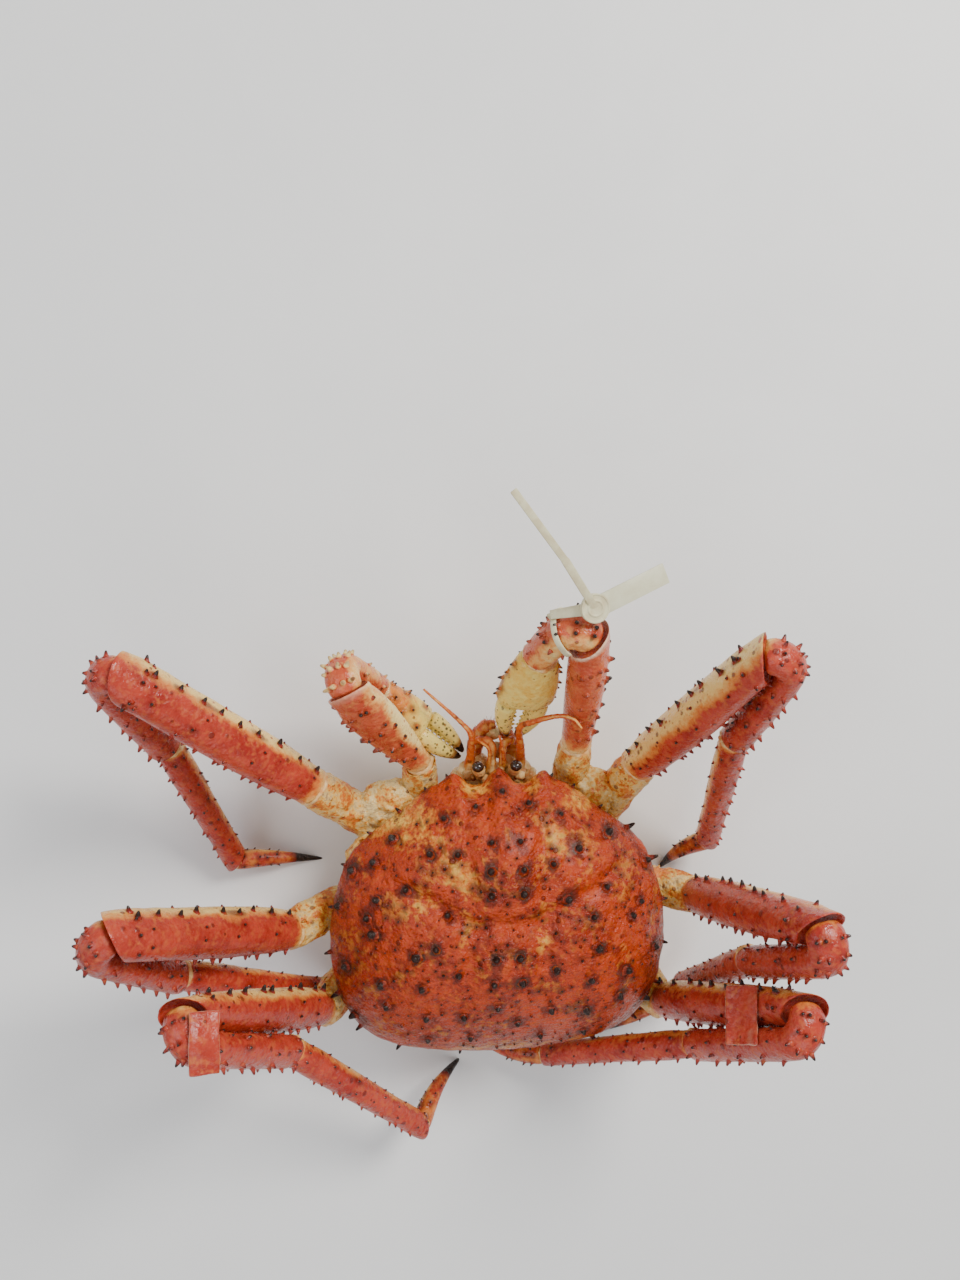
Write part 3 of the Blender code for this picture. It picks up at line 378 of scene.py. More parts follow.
ORANGE = (0.66, 0.20, 0.035)
CREAM = (0.84, 0.56, 0.17)
SHELLS = {
    "carapace": shell_finish("carapace_shell", (0.44, 0.042, 0.006), (0.27, 0.019, 0.004),
                             (0.56, 0.15, 0.014), (0.76, 0.42, 0.070), (0.34, 0.05, 0.012), gloss=0.27,
                             bump=0.0013, mottling=0.85, broken=0.62, shine=0.27, coat=0.05),
    "leg": shell_finish("leg_shell", (0.48, 0.052, 0.026), (0.33, 0.022, 0.013), ORANGE, CREAM,
                        (0.30, 0.035, 0.010), gloss=0.27, broken=0.26),
    "claw": shell_finish("claw_shell", (0.58, 0.105, 0.040), (0.48, 0.060, 0.022), (0.76, 0.32, 0.08),
                         (0.88, 0.68, 0.27), (0.34, 0.05, 0.012), gloss=0.24),
    "palm": shell_finish("palm_shell", (0.70, 0.21, 0.022), (0.62, 0.13, 0.015), (0.80, 0.48, 0.08),
                         (0.87, 0.67, 0.17), (0.022, 0.012, 0.006), gloss=0.26, speck_scale=500.0,
                         dot_scale=230.0, bump=0.0004, speck_size=0.60),
    "joint": shell_finish("joint_shell", (0.62, 0.17, 0.022), (0.52, 0.07, 0.012), (0.76, 0.42, 0.075),
                          (0.80, 0.62, 0.27), (0.55, 0.12, 0.02), gloss=0.32, cloud_scale=95.0,
                          bump=0.0009, broken=0.7),
    "belly": shell_finish("belly_shell", (0.66, 0.34, 0.10), (0.56, 0.15, 0.03), (0.74, 0.46, 0.16),
                          (0.82, 0.66, 0.40), (0.50, 0.12, 0.03), gloss=0.42),
    "feeler": shell_finish("feeler_shell", (0.64, 0.12, 0.016), (0.50, 0.055, 0.012), (0.74, 0.30, 0.05),
                           (0.82, 0.55, 0.22), (0.40, 0.05, 0.015), gloss=0.30),
}
print("shell finishes", len(SHELLS))

# %% [markdown]
# The other finishes.
# Between the plates there is bare skin: cream, damp and wrinkled. The eyes are black beads
# with a high gloss. The tag is soft cream plastic, a little cloudy, its strap a little
# yellower. The floor has a pale grey with the faintest clouds.

# %% Skin, eye, plastic and floor
def plain_finish(name, ground, deep, gloss, scale=90.0, bump=0.0003, grain_scale=500.0, coat=0.0):
    """One material in two close tones, with clouds in its colour and gloss and a fine grain."""
    finish, tree, shader, place = new_finish(name)
    patches = use_group(tree, clouds, place, {"Scale": scale, "Low": 0.35, "High": 0.68})
    tree.links.new(blend_colour(tree, ground, deep, patches), shader.inputs["Base Color"])
    tree.links.new(ramp(tree, patches, 0.0, 1.0, gloss, gloss + 0.12), shader.inputs["Roughness"])
    shader.inputs["Coat Weight"].default_value = coat
    add_relief(tree, shader, use_group(tree, grain, place, {"Scale": grain_scale, "Pits": 0.3}), 0.6, bump)
    return finish


SKIN = plain_finish("joint_skin", (0.80, 0.58, 0.25), (0.68, 0.28, 0.06), gloss=0.34, scale=220.0,
                    bump=0.0005, grain_scale=700.0, coat=0.3)
EYE = plain_finish("eye_black", (0.012, 0.008, 0.007), (0.035, 0.016, 0.010), gloss=0.08, scale=300.0,
                   bump=0.00004, grain_scale=2500.0, coat=0.8)
PLASTIC = plain_finish("tag_plastic", (0.72, 0.70, 0.50), (0.64, 0.61, 0.41), gloss=0.38, scale=120.0,
                       bump=0.00005, grain_scale=900.0)
STRAP = plain_finish("strap_plastic", (0.70, 0.66, 0.43), (0.58, 0.50, 0.30), gloss=0.42, scale=150.0,
                     bump=0.00006, grain_scale=900.0)
FLOOR = plain_finish("floor_pale", (0.84, 0.84, 0.83), (0.80, 0.80, 0.795), gloss=0.62, scale=3.0,
                     bump=0.0004, grain_scale=60.0)
floor.data.materials.append(FLOOR)
print("materials", len(bpy.data.materials))

# %% [markdown]
# Modelling a plate.
# A limb's plate is a tube that swells and narrows. By hand it starts as a filled circle,
# drawn out to an oval, and its end is extruded and resized again and again along the limb.
# The helpers do just that, in a frame whose Z runs along the limb and whose Y points away
# from the fold; the finished tube is then put in its place, and the place is applied.

# %% Start and draw out a tube
def solo(piece):
    """Makes a piece the only one selected, and the active one."""
    bpy.ops.object.select_all(action="DESELECT")
    piece.select_set(True)
    bpy.context.view_layer.objects.active = piece


def edit_all():
    """Opens the active piece for modelling, with all of it selected."""
    bpy.ops.object.mode_set(mode="EDIT")
    bpy.ops.mesh.select_all(action="SELECT")


def frame_at(place, x, y, z):
    """The frame that stands at a place, from its three directions."""
    matrix = Matrix((x, y, z)).transposed().to_4x4()
    matrix.translation = place
    return matrix


def start_tube(name, station, sides=40):
    """A filled oval at a station: (height, half width, outer and inner depth, shift x, shift y)."""
    height, wide, outer, inner, x, y = station
    bpy.ops.object.select_all(action="DESELECT")
    bpy.ops.mesh.primitive_circle_add(vertices=sides, radius=1.0, fill_type="NGON")
    piece = bpy.context.object
    piece.name = name
    edit_all()
    bpy.ops.transform.resize(value=(wide, (outer + inner) / 2, 1.0), center_override=(0, 0, 0))
    bpy.ops.transform.translate(value=(x, y + (outer - inner) / 2, height))
    return piece


# %% End on a slanted joint face, with a sunk socket
def slide_end(piece, along, point, normal):
    """Slides the selected end along the limb until it lies in the joint's plane."""
    mesh = bmesh.from_edit_mesh(piece.data)
    for vert in mesh.verts:
        if vert.select:
            vert.co += along * ((point - vert.co).dot(normal) / along.dot(normal))
    bmesh.update_edit_mesh(piece.data)


def sink_socket(wall, depth):
    """Leaves a thin wall round the selected end and sinks the rest of it."""
    bpy.ops.mesh.inset(thickness=wall * 0.35, depth=0.0)
    bpy.ops.mesh.inset(thickness=wall * 0.65, depth=-depth * 0.15)
    bpy.ops.mesh.inset(thickness=wall, depth=-depth)


# %% Finish a plate
lumps = bpy.data.textures.new("lumps", "CLOUDS")
lumps.noise_scale = 0.007
lumps.noise_depth = 3
folds = bpy.data.textures.new("folds", "CLOUDS")
folds.noise_scale = 0.0032
folds.noise_depth = 3


def roughen(piece, texture, strength):
    """Pushes the surface in and out by a cloud texture."""
    uneven = piece.modifiers.new("uneven", "DISPLACE")
    uneven.texture = texture
    uneven.texture_coords = "GLOBAL"
    uneven.strength = strength
    uneven.mid_level = 0.5
    bpy.ops.object.modifier_apply(modifier="uneven")


def finish_plate(piece, matrix=None, levels=2, relief=0.0):
    """Puts a modelled plate in its place, smooths it and gives its surface a gentle unevenness."""
    if bpy.context.mode == "EDIT_MESH":
        bpy.ops.mesh.select_all(action="SELECT")
        bpy.ops.mesh.normals_make_consistent(inside=False)
        bpy.ops.object.mode_set(mode="OBJECT")
    solo(piece)
    if matrix is not None:
        piece.matrix_world = matrix
        bpy.ops.object.transform_apply(location=True, rotation=True, scale=True)
    if levels:
        smooth = piece.modifiers.new("smooth", "SUBSURF")
        smooth.levels = levels
        smooth.render_levels = levels
        bpy.ops.object.modifier_apply(modifier="smooth")
    if relief:
        roughen(piece, lumps, relief)
    bpy.ops.object.shade_smooth()
    return piece


# %% [markdown]
# Values on the points.
# The values pale, rim and tip that the shell's material reads are worked out from where a
# point lies and which way it faces, as a painter would lay a mask. The value spot
# comes with the spines.

# %% Paint a value on a piece
def paint(piece, name, rule):
    """Writes a value between 0 and 1 on every point: rule takes its place and its normal."""
    mesh = piece.data
    layer = mesh.attributes.get(name) or mesh.attributes.new(name, "FLOAT", "POINT")
    values = [max(0.0, min(1.0, rule(vert.co, vert.normal))) for vert in mesh.vertices]
    layer.data.foreach_set("value", values)


def paint_even(piece, **values):
    """Writes the same amount of a value on every point."""
    for name, amount in values.items():
        paint(piece, name, lambda place, normal: amount)


def ease(value, low, high):
    """Rises smoothly from 0 at the low end to 1 at the high end."""
    share = max(0.0, min(1.0, (value - low) / (high - low)))
    return share * share * (3 - 2 * share)


# %% [markdown]
# The spine.
# Every plate bears spines: short cones with a broad foot that flows into the shell and a
# blunt dark point. One is modelled from a cone and copied, larger or smaller, onto all
# plates. It has few faces, because there are well over a thousand of them.

# %% Model one spine
bpy.ops.mesh.primitive_cone_add(vertices=7, radius1=1.0, radius2=0.64, depth=0.30,
                                end_fill_type="NGON", location=(0, 0, 0.0))
spine_model = bpy.context.object
spine_model.name = "spine_model"
bpy.ops.object.mode_set(mode="EDIT")
bpy.ops.mesh.select_all(action="DESELECT")
shape = bmesh.from_edit_mesh(spine_model.data)
for face in shape.faces:
    face.select = face.normal.z > 0.9
bmesh.update_edit_mesh(spine_model.data)
for rise, scale in ((0.30, 0.76), (0.34, 0.70), (0.20, 0.52)):
    bpy.ops.mesh.extrude_region_move(TRANSFORM_OT_translate={"value": (0, 0, rise)})
    bpy.ops.transform.resize(value=(scale, scale, 1.0), center_override=(0, 0, 0))
bpy.ops.mesh.poke()
bpy.ops.object.mode_set(mode="OBJECT")
SPINE_TOP = max(v.co.z for v in spine_model.data.vertices)
paint(spine_model, "tip", lambda place, normal: place.z / SPINE_TOP)
spine_mesh = spine_model.data.copy()
bpy.data.objects.remove(spine_model, do_unlink=True)
print("spine faces", len(spine_mesh.polygons), "height", round(SPINE_TOP, 3))


# %% Copy spines onto a piece
def add_spines(piece, spines, stain=2.3, pale=0.0):
    """
    Copies the spine onto a piece, turned at random: (foot, axis, height, foot radius and how
    dark its point is). Round each foot the plate takes the value spot, for a stain.
    """
    feet = KDTree(len(spines))
    for number, entry in enumerate(spines):
        feet.insert(entry[0], number)
    feet.balance()
    copies = bmesh.new()
    for foot, axis, height, radius, dark in spines:
        copy = bmesh.new()
        copy.from_mesh(spine_mesh)
        layer = copy.verts.layers.float["tip"]
        pale_layer = copy.verts.layers.float.new("pale")
        for vert in copy.verts:
            vert[layer] *= dark
            vert[pale_layer] = pale * min(1.0, 2.5 * vert.co.z / SPINE_TOP)
        turned = axis.to_track_quat("Z", "Y").to_matrix() @ Matrix.Rotation(chance.uniform(0, 6.28), 3, "Z")
        size = Matrix.Diagonal((radius, radius, height / SPINE_TOP))
        copy.transform(Matrix.Translation(foot) @ (turned @ size).to_4x4())
        moved = bpy.data.meshes.new("spine_copy")
        copy.to_mesh(moved)
        copies.from_mesh(moved)
        bpy.data.meshes.remove(moved)
        copy.free()
    carrier = bpy.data.meshes.new("spines")
    copies.to_mesh(carrier)
    copies.free()
    shape = bmesh.new()
    shape.from_mesh(piece.data)
    spot = shape.verts.layers.float.get("spot") or shape.verts.layers.float.new("spot")
    for vert in shape.verts:
        _, number, away = feet.find(vert.co)
        entry = spines[number]
        vert[spot] = max(vert[spot], entry[4] * math.exp(-(away / (entry[3] * stain)) ** 2))
    shape.from_mesh(carrier)
    bpy.data.meshes.remove(carrier)
    for face in shape.faces:
        face.smooth = True
    shape.to_mesh(piece.data)
    shape.free()


def surface_of(piece):
    """A piece's surface as it is now, for rays to be cast at."""
    shape = bmesh.new()
    shape.from_mesh(piece.data)
    tree = BVHTree.FromBMesh(shape)
    shape.free()
    return tree


chance = random.Random(11)

# %% [markdown]
# Handing a piece over.
# A finished piece takes its material, rides on the body and stands in for its solid.

# %% Hand over
pieces = {}


def hand_over(piece, finish, *nodes):
    """Gives a piece its material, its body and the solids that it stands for."""
    piece.data.materials.clear()
    piece.data.materials.append(finish)
    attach(piece, BODY)
    if nodes:
        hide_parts(*nodes)
    pieces[piece.name] = piece
    return piece


# %% [markdown]
# The carapace.
# The back is one domed plate, wider than long, with a beak between the eyes, notches beside
# it, a groove that curves across and bulging regions on either side of it. It could start
# from a squashed ball, but its edge has a shape of its own, so it starts from a circle at
# the foot of its turned-in edge. That ring is extruded and its points are carried out to
# the rim and on over the dome, ring by ring, to a closed crown.

# %% Shape of the rim and the dome
RIM_HALF = (
    (0.0000, 0.0790), (0.0045, 0.0755), (0.0085, 0.0705), (0.0150, 0.0700), (0.0195, 0.0735),
    (0.0250, 0.0765), (0.0300, 0.0720), (0.0370, 0.0690), (0.0440, 0.0640), (0.0530, 0.0565),
    (0.0620, 0.0500), (0.0710, 0.0430), (0.0795, 0.0340), (0.0850, 0.0220), (0.0890, 0.0090),
    (0.0910, -0.0050), (0.0915, -0.0190), (0.0895, -0.0330), (0.0865, -0.0450),
    (0.0805, -0.0570), (0.0715, -0.0670), (0.0590, -0.0735), (0.0430, -0.0780),
    (0.0220, -0.0805), (0.0000, -0.0815),
)
CROWN_Y = 0.014
DOME_TOP = 0.094
RIM_Z = 0.053
RIM_RISE = 0.007
RIM_FALL = 0.009
GROOVE_HALF = 0.0050
GROOVE_DEPTH = 0.0036
FURROW_X = 0.019
FURROW_HALF = 0.0035
FURROW_DEPTH = 0.0022
SWELLINGS = (
    ((0.000, 0.040), (0.017, 0.030), 0.0050),
    ((0.000, -0.026), (0.016, 0.017), 0.0040),
    ((-0.050, -0.016), (0.026, 0.034), 0.0045),
    ((0.050, -0.016), (0.026, 0.034), 0.0045),
    ((-0.047, 0.036), (0.017, 0.016), 0.0035),
    ((0.047, 0.036), (0.017, 0.016), 0.0035),
)


def rounded(a, b, c, d, t):
    """A point on the way from b to c of a smooth curve that passes a and d too."""
    return 0.5 * ((2 * b) + (c - a) * t + (2 * a - 5 * b + 4 * c - d) * t ** 2
                  + (3 * b - a - 3 * c + d) * t ** 3)


def rim_points(parts=4):
    """The rim's points seen from above, with rounded points between the given ones."""
    half = [Vector((x, y)) for x, y in RIM_HALF]
    whole = [Vector((-p.x, p.y)) for p in half] + list(reversed(half))[1:-1]
    points = []
    count = len(whole)
    for i in range(count):
        a, b, c, d = (whole[(i + k - 1) % count] for k in range(4))
        points += [rounded(a, b, c, d, step / parts) for step in range(parts)]
    return points


def rim_height(y):
    """Height of the rim, which rises to the beak and falls to the tail."""
    if y > 0:
        return RIM_Z + RIM_RISE * min(1.0, y / RIM_HALF[0][1]) ** 2
    return RIM_Z - RIM_FALL * min(1.0, y / RIM_HALF[-1][1]) ** 2


def dome_height(x, y, share, rim):
    """Height of the back at a share of the way from the crown to the rim."""
    rise = max(0.0, 1 - share ** 2.5) ** 0.72
    height = rim + (DOME_TOP - rim) * rise
    for (cx, cy), (wx, wy), swell in SWELLINGS:
        height += swell * math.exp(-((x - cx) / wx) ** 2 - ((y - cy) / wy) ** 2) * rise ** 0.5
    bow = y - (0.004 + 0.55 * max(0.0, abs(x) - 0.016))
    height -= GROOVE_DEPTH * math.exp(-(bow / GROOVE_HALF) ** 2) * rise ** 0.5
    for side in (-1, 1):
        furrow = (x * side - FURROW_X - 0.0005 * math.sin(y * 160)) / FURROW_HALF
        height -= FURROW_DEPTH * math.exp(-furrow ** 2) * ease(y, -0.050, -0.010) * rise ** 0.5
    return height


def worn_down(points, passes):
    """An outline whose corners are worn round, a little more with each pass."""
    for _ in range(passes):
        after = points[1:] + points[:1]
        before = points[-1:] + points[:-1]
        points = [p * 0.5 + (a + b) * 0.25 for p, a, b in zip(points, after, before)]
    return points


outline = rim_points()
print("rim points", len(outline))


# %% Extrude the carapace over its dome
def carry_ring(piece, points, grow=True):
    """Extrudes the selected ring and carries its points to their new places."""
    if grow:
        bpy.ops.mesh.extrude_region_move(TRANSFORM_OT_translate={"value": (0, 0, 0.001)})
    mesh = bmesh.from_edit_mesh(piece.data)
    loop = [vert for vert in mesh.verts if vert.select]
    for vert, point in zip(loop, points):
        vert.co = point
    bmesh.update_edit_mesh(piece.data)


def start_outline(name, count):
    """A filled circle with as many points as an outline has, left in edit mode and selected."""
    bpy.ops.object.select_all(action="DESELECT")
    bpy.ops.mesh.primitive_circle_add(vertices=count, radius=0.05, fill_type="NGON")
    piece = bpy.context.object
    piece.name = name
    edit_all()
    return piece


FOOT_Z = 0.0383
carapace = start_outline("carapace_shell", len(outline))
foot_rings = ((0.66, 1.0), (0.76, 0.86), (0.86, 0.62), (0.94, 0.34), (0.985, 0.12))
for number, (share, drop) in enumerate(foot_rings):
    ring = []
    for p in outline:
        edge_z = rim_height(p.y)
        ring.append(Vector((p.x * share, p.y * share, edge_z + (FOOT_Z - edge_z) * drop)))
    carry_ring(carapace, ring, number > 0)
middle = Vector((0.0, CROWN_Y))
shares = (1.0, 0.985, 0.96, 0.93, 0.89, 0.84, 0.79, 0.74, 0.69, 0.64, 0.59, 0.54, 0.49, 0.44, 0.39,
          0.34, 0.29, 0.24, 0.19, 0.14, 0.095, 0.055, 0.022)
for share in shares:
    flat = worn_down(outline, int(150 * (1 - share) ** 1.1))
    ring = []
    for p, rim_place in zip(flat, outline):
        q = middle + (p - middle) * share
        ring.append(Vector((q.x, q.y, dome_height(q.x, q.y, share, rim_height(rim_place.y)))))
    carry_ring(carapace, ring)
bpy.ops.mesh.poke()
finish_plate(carapace, None, 1, 0.0017)
carapace_tree = surface_of(carapace)
print("carapace", len(carapace.data.polygons))

# %% [markdown]
# Colour and spines of the carapace.
# Cream shows beside the raised middle region, at the front corners and under the beak. The
# tall spines stand where they stand in the picture; smaller ones fill the back between them,
# never closer than a few millimetres, and a row of them points outwards along the rim.

# %% Paint the carapace
PALE_PATCHES = (
    ((-0.025, 0.034), (0.009, 0.022), 0.50),
    ((-0.021, 0.012), (0.007, 0.012), 0.50),
    ((0.024, 0.042), (0.008, 0.018), 0.50),
    ((-0.064, 0.056), (0.026, 0.013), 1.15),
    ((0.052, 0.063), (0.018, 0.008), 1.05),
    ((-0.013, 0.074), (0.008, 0.008), 0.95),
    ((0.013, 0.073), (0.007, 0.006), 0.85),
    ((0.018, 0.000), (0.004, 0.010), 0.60),
    ((-0.022, -0.002), (0.004, 0.008), 0.50),
    ((-0.040, 0.014), (0.014, 0.008), 0.34),
    ((0.000, -0.075), (0.050, 0.006), 0.30),
    ((-0.038, 0.048), (0.014, 0.010), 0.45),
    ((0.040, 0.030), (0.010, 0.014), 0.36),
    ((0.062, -0.006), (0.010, 0.022), 0.25),
    ((-0.055, -0.030), (0.016, 0.020), 0.22),
)


def carapace_pale(place, normal):
    """How pale a point of the back is, whichever way it faces."""
    value = 0.0
    for (cx, cy), (wx, wy), strength in PALE_PATCHES:
        value = max(value, strength * math.exp(-((place.x - cx) / wx) ** 2 - ((place.y - cy) / wy) ** 2))
    under = ease(0.047 - place.z, 0.0, 0.008) * 0.9
    return max(value, under)


paint(carapace, "pale", carapace_pale)
paint_even(carapace, rim=0.0, tip=0.0)

# %% Set the spines of the carapace
BACK_SPINES = (
    (-0.007, 0.046, 3), (0.007, 0.046, 3), (-0.008, 0.033, 4), (0.008, 0.033, 4), (-0.008, 0.021, 4),
    (0.008, 0.021, 4), (-0.006, -0.012, 4), (0.006, -0.012, 4), (-0.007, -0.025, 4), (0.007, -0.025, 4),
    (-0.046, -0.010, 6), (0.046, -0.010, 6), (0.031, 0.016, 5), (-0.030, 0.010, 4), (-0.067, -0.001, 6),
    (0.066, 0.002, 5), (-0.070, 0.006, 4), (-0.065, 0.016, 4), (-0.056, 0.045, 5), (0.056, 0.044, 5),
    (-0.066, 0.033, 5), (-0.078, 0.027, 5), (0.078, 0.026, 5), (-0.085, 0.008, 5), (0.052, 0.019, 4),
    (-0.050, 0.022, 4), (0.072, 0.008, 4), (-0.025, -0.020, 4), (0.025, -0.020, 4), (-0.043, -0.027, 4),
    (0.043, -0.027, 4), (-0.063, -0.027, 5), (0.063, -0.026, 5), (-0.061, -0.040, 4), (0.060, -0.041, 4),
    (-0.041, -0.046, 4), (0.042, -0.047, 4), (-0.079, -0.052, 4), (0.078, -0.050, 4), (0.023, -0.044, 4),
    (-0.022, -0.046, 4), (-0.005, -0.040, 3), (0.006, -0.052, 3), (-0.018, -0.062, 3), (0.019, -0.063, 3),
    (-0.040, -0.063, 3), (0.043, -0.064, 3), (0.038, 0.040, 4), (-0.038, 0.040, 4), (-0.030, 0.056, 3),
    (0.030, 0.056, 3), (0.024, 0.034, 3), (-0.024, 0.040, 3), (0.014, 0.062, 3), (-0.014, 0.061, 3),
    (0.000, 0.068, 4), (0.082, -0.020, 4), (-0.082, -0.022, 4), (0.044, 0.006, 3), (-0.036, -0.006, 3),
)


def back_spine(x, y, size):
    """Foot, axis, height and foot radius of a spine that stands on the back."""
    foot, normal = carapace_tree.ray_cast(Vector((x, y, 0.2)), Vector((0, 0, -1)))[:2]
    axis = (normal + Vector((0, 0.16, 0.1)) + Vector((x, y, 0)) * 2.0).normalized()
    height = (0.0013 + 0.00066 * size) * chance.uniform(0.9, 1.1)
    if size < 2.5:
        return foot - normal * 0.0002, axis, height * 0.5, 0.0006 + 0.00046 * size, 0.85
    return foot - normal * 0.0003, axis, height * 0.9, 0.0012 + 0.00058 * size, 1.30


SPINE_COUNT = 330
SPINE_SPACING = 0.0042
spines = [back_spine(x, y, size) for x, y, size in BACK_SPINES]
filled = [Vector((x, y)) for x, y, size in BACK_SPINES]
while len(filled) < SPINE_COUNT:
    x = chance.uniform(-0.088, 0.088)
    y = chance.uniform(-0.076, 0.066)
    inside = (x / 0.087) ** 2 + ((y + 0.006) / 0.073) ** 2 < 1.0
    if inside and min((p - Vector((x, y))).length for p in filled) > SPINE_SPACING:
        filled.append(Vector((x, y)))
        spines.append(back_spine(x, y, chance.choice((0.5, 0.7, 1.0, 1.4, 2.2))))
for i in range(22, len(outline) - 18, 7):
    p = outline[i]
    outward = Vector((p.x, p.y - 0.01, 0)).normalized()
    foot = Vector((p.x, p.y, rim_height(p.y) + 0.0010)) - outward * 0.0012
    size = chance.choice((2.5, 3.5, 5.0)) if abs(p.x) > 0.04 else 2.2
    spines.append((foot, (outward + Vector((0, 0.15, 0.35))).normalized(),
                   0.0010 + 0.0009 * size, 0.0010 + 0.00034 * size, 1.0))
add_spines(carapace, spines)
hand_over(carapace, SHELLS["carapace"], "carapace")
print("carapace spines", len(spines), "faces", len(carapace.data.polygons))

# %% [markdown]
# A limb.
# Each leg has a sagging base, a long merus, a carpus that turns over at the knee and runs
# back, a slender propodus and a curved pointed dactyl. The tube helpers make all of them;
# the carpus is drawn out along its straight run first, and then its other end is spun
# round the knee, as the shell itself sweeps round.

# %% Frames and joints
GAP = 0.0003


def across(vector, axis):
    """The part of a direction that is square to an axis."""
    return (vector - vector.dot(axis) * axis).normalized()


def limb_matrix(start, along, out):
    """A frame at the start of a plate: Z along it, Y out of it."""
    return frame_at(start, out.cross(along), out, along)


def joint_planes(point, before, after):
    """The two faces of a joint, a narrow gap apart: (point, normal)."""
    normal = (before + after).normalized()
    return (point - normal * GAP / 2, normal), (point + normal * GAP / 2, normal)


def fold_frame(knee, along, wrist, radius, shift, cut):
    """Way out of a fold, its pivot, its whole turn, and where and which way the run starts."""
    run = (wrist - knee).normalized()
    for _ in range(8):
        out = -across(run, along)
        turn = math.acos(max(-1.0, min(1.0, along.dot(run))))
        pivot = knee - (out * math.cos(cut) + along * math.sin(cut)) * (radius - shift)
        begin = pivot + (along * math.sin(turn) + out * math.cos(turn)) * radius
        run = (wrist - begin).normalized()
    return out, pivot, turn, begin, run


# %% A plate of a limb
def sized(shape, wide, deep):
    """A plate's shape at its size. Shape: (share, width, outer and inner depth)."""
    return [(share, wide * w, deep * o, deep * i) for share, w, o, i in shape]


def sized_round(shape, half):
    """A round plate's shape at its size. Shape: (share, thickness)."""
    return [(share, half * k, half * k, half * k) for share, k in shape]


def flatten_draw(stations):
    """Draws a tube out, each new end laid flat at its station."""
    for before, now in zip(stations, stations[1:]):
        deep = (now[2] + now[3]) / 2
        deep_before = (before[2] + before[3]) / 2
        x = now[4]
        y = now[5] + (now[2] - now[3]) / 2
        step = (x - before[4], y - before[5] - (before[2] - before[3]) / 2, now[0] - before[0])
        bpy.ops.mesh.extrude_region_move(TRANSFORM_OT_translate={"value": step})
        bpy.ops.transform.resize(value=(now[1] / before[1], deep / deep_before, 0.0),
                                 center_override=(x, y, now[0]))


def limb_plate(name, start, end, out, stations, start_plane, end_plane, socket=0.0012, sag=0.0, sides=40,
               relief=0.0009, pleats=None):
    """A plate from joint to joint. Stations: (share, half width, outer and inner depth)."""
    along = (end - start).normalized()
    length = (end - start).length
    matrix = limb_matrix(start, along, out)
    back = matrix.inverted()
    down = back.to_3x3() @ Vector((0, 0, -1))
    rows = []
    for share, wide, outer, inner in stations:
        drop = sag * math.sin(math.pi * min(1.0, max(0.0, share)))
        rows.append((share * length + down.z * drop, wide, outer, inner, down.x * drop, down.y * drop))
    piece = start_tube(name, rows[0], sides)
    run = Vector((0, 0, 1))
    slide_end(piece, run, back @ start_plane[0], back.to_3x3() @ start_plane[1])
    flatten_draw(rows)
    slide_end(piece, run, back @ end_plane[0], back.to_3x3() @ end_plane[1])
    if socket:
        sink_socket(socket, socket * 2.4)
    finish_plate(piece, matrix, 1, relief)
    if pleats:
        roughen(piece, pleats, relief)
    return piece


# %% A plate that folds over a knee
def folded_plate(name, frame, cut, wrist, stations, end_plane):
    """A plate drawn out along its run, whose near end is then spun back round the knee."""
    out, pivot, turn, begin, run = frame
    matrix = limb_matrix(begin, run, across(begin - pivot, run))
    back = matrix.inverted()
    length = (wrist - begin).length
    rows = [(share * length, wide, outer, inner, 0.0, 0.0) for share, wide, outer, inner in stations]
    piece = start_tube(name, rows[0])
    flatten_draw(rows)
    slide_end(piece, Vector((0, 0, 1)), back @ end_plane[0], back.to_3x3() @ end_plane[1])
    sink_socket(0.0010, 0.0024)
    bpy.ops.mesh.select_all(action="DESELECT")
    mesh = bmesh.from_edit_mesh(piece.data)
    mesh.faces.ensure_lookup_table()
    near_face = min(mesh.faces, key=lambda face: abs(face.calc_center_median().z) - len(face.verts))
    ring = list(near_face.verts)
    mesh.faces.remove(near_face)
    for vert in ring:
        vert.select_set(True)
    mesh.select_flush(True)
    bmesh.update_edit_mesh(piece.data)
    pivot_local = back @ pivot
    bpy.ops.mesh.spin(steps=7, angle=turn - cut, center=pivot_local, axis=(1, 0, 0))
    bpy.ops.mesh.edge_face_add()
    last = [vert.co.copy() for vert in bmesh.from_edit_mesh(piece.data).verts if vert.select]
    centre = sum(last, Vector()) / len(last)
    bpy.ops.transform.resize(value=(0.9, 0.9, 0.9), center_override=centre)
    bpy.ops.mesh.inset(thickness=0.0016, depth=0.0)
    return finish_plate(piece, matrix, 1, 0.0009)


def check_closed(piece):
    """Counts the edges of a piece that don't have just two faces."""
    shape = bmesh.new()
    shape.from_mesh(piece.data)
    open_edges = sum(1 for edge in shape.edges if len(edge.link_faces) != 2)
    shape.free()
    return open_edges


# %% Spines in rows along a plate
def row_spines(piece, start, end, side, out, rows, height=0.0034, radius=0.0021, bend=0.45):
    """Spines in rows: (degrees from the side that looks forward, first and last share, count, size, dark)."""
    tree = surface_of(piece)
    along = (end - start).normalized()
    forward = side if side.y > 0 else -side
    made = []
    for degrees, first, last, count, size, *dark in rows:
        for i in range(count):
            share = first + (last - first) * (i + chance.uniform(-0.3, 0.3)) / max(1, count - 1)
            angle = math.radians(degrees + chance.uniform(-8, 8))
            way = forward * math.cos(angle) + out * math.sin(angle)
            found, normal = tree.ray_cast(start.lerp(end, share), way)[:2]
            if found is None:
                continue
            axis = (way + along * bend * chance.uniform(0.6, 1.3)).normalized()
            scale = size * chance.uniform(0.82, 1.15)
            foot = radius * (0.35 + 0.65 * scale)
            made.append((found - way * 0.0003, axis, height * scale, foot, dark[0] if dark else 1.0))
    return made


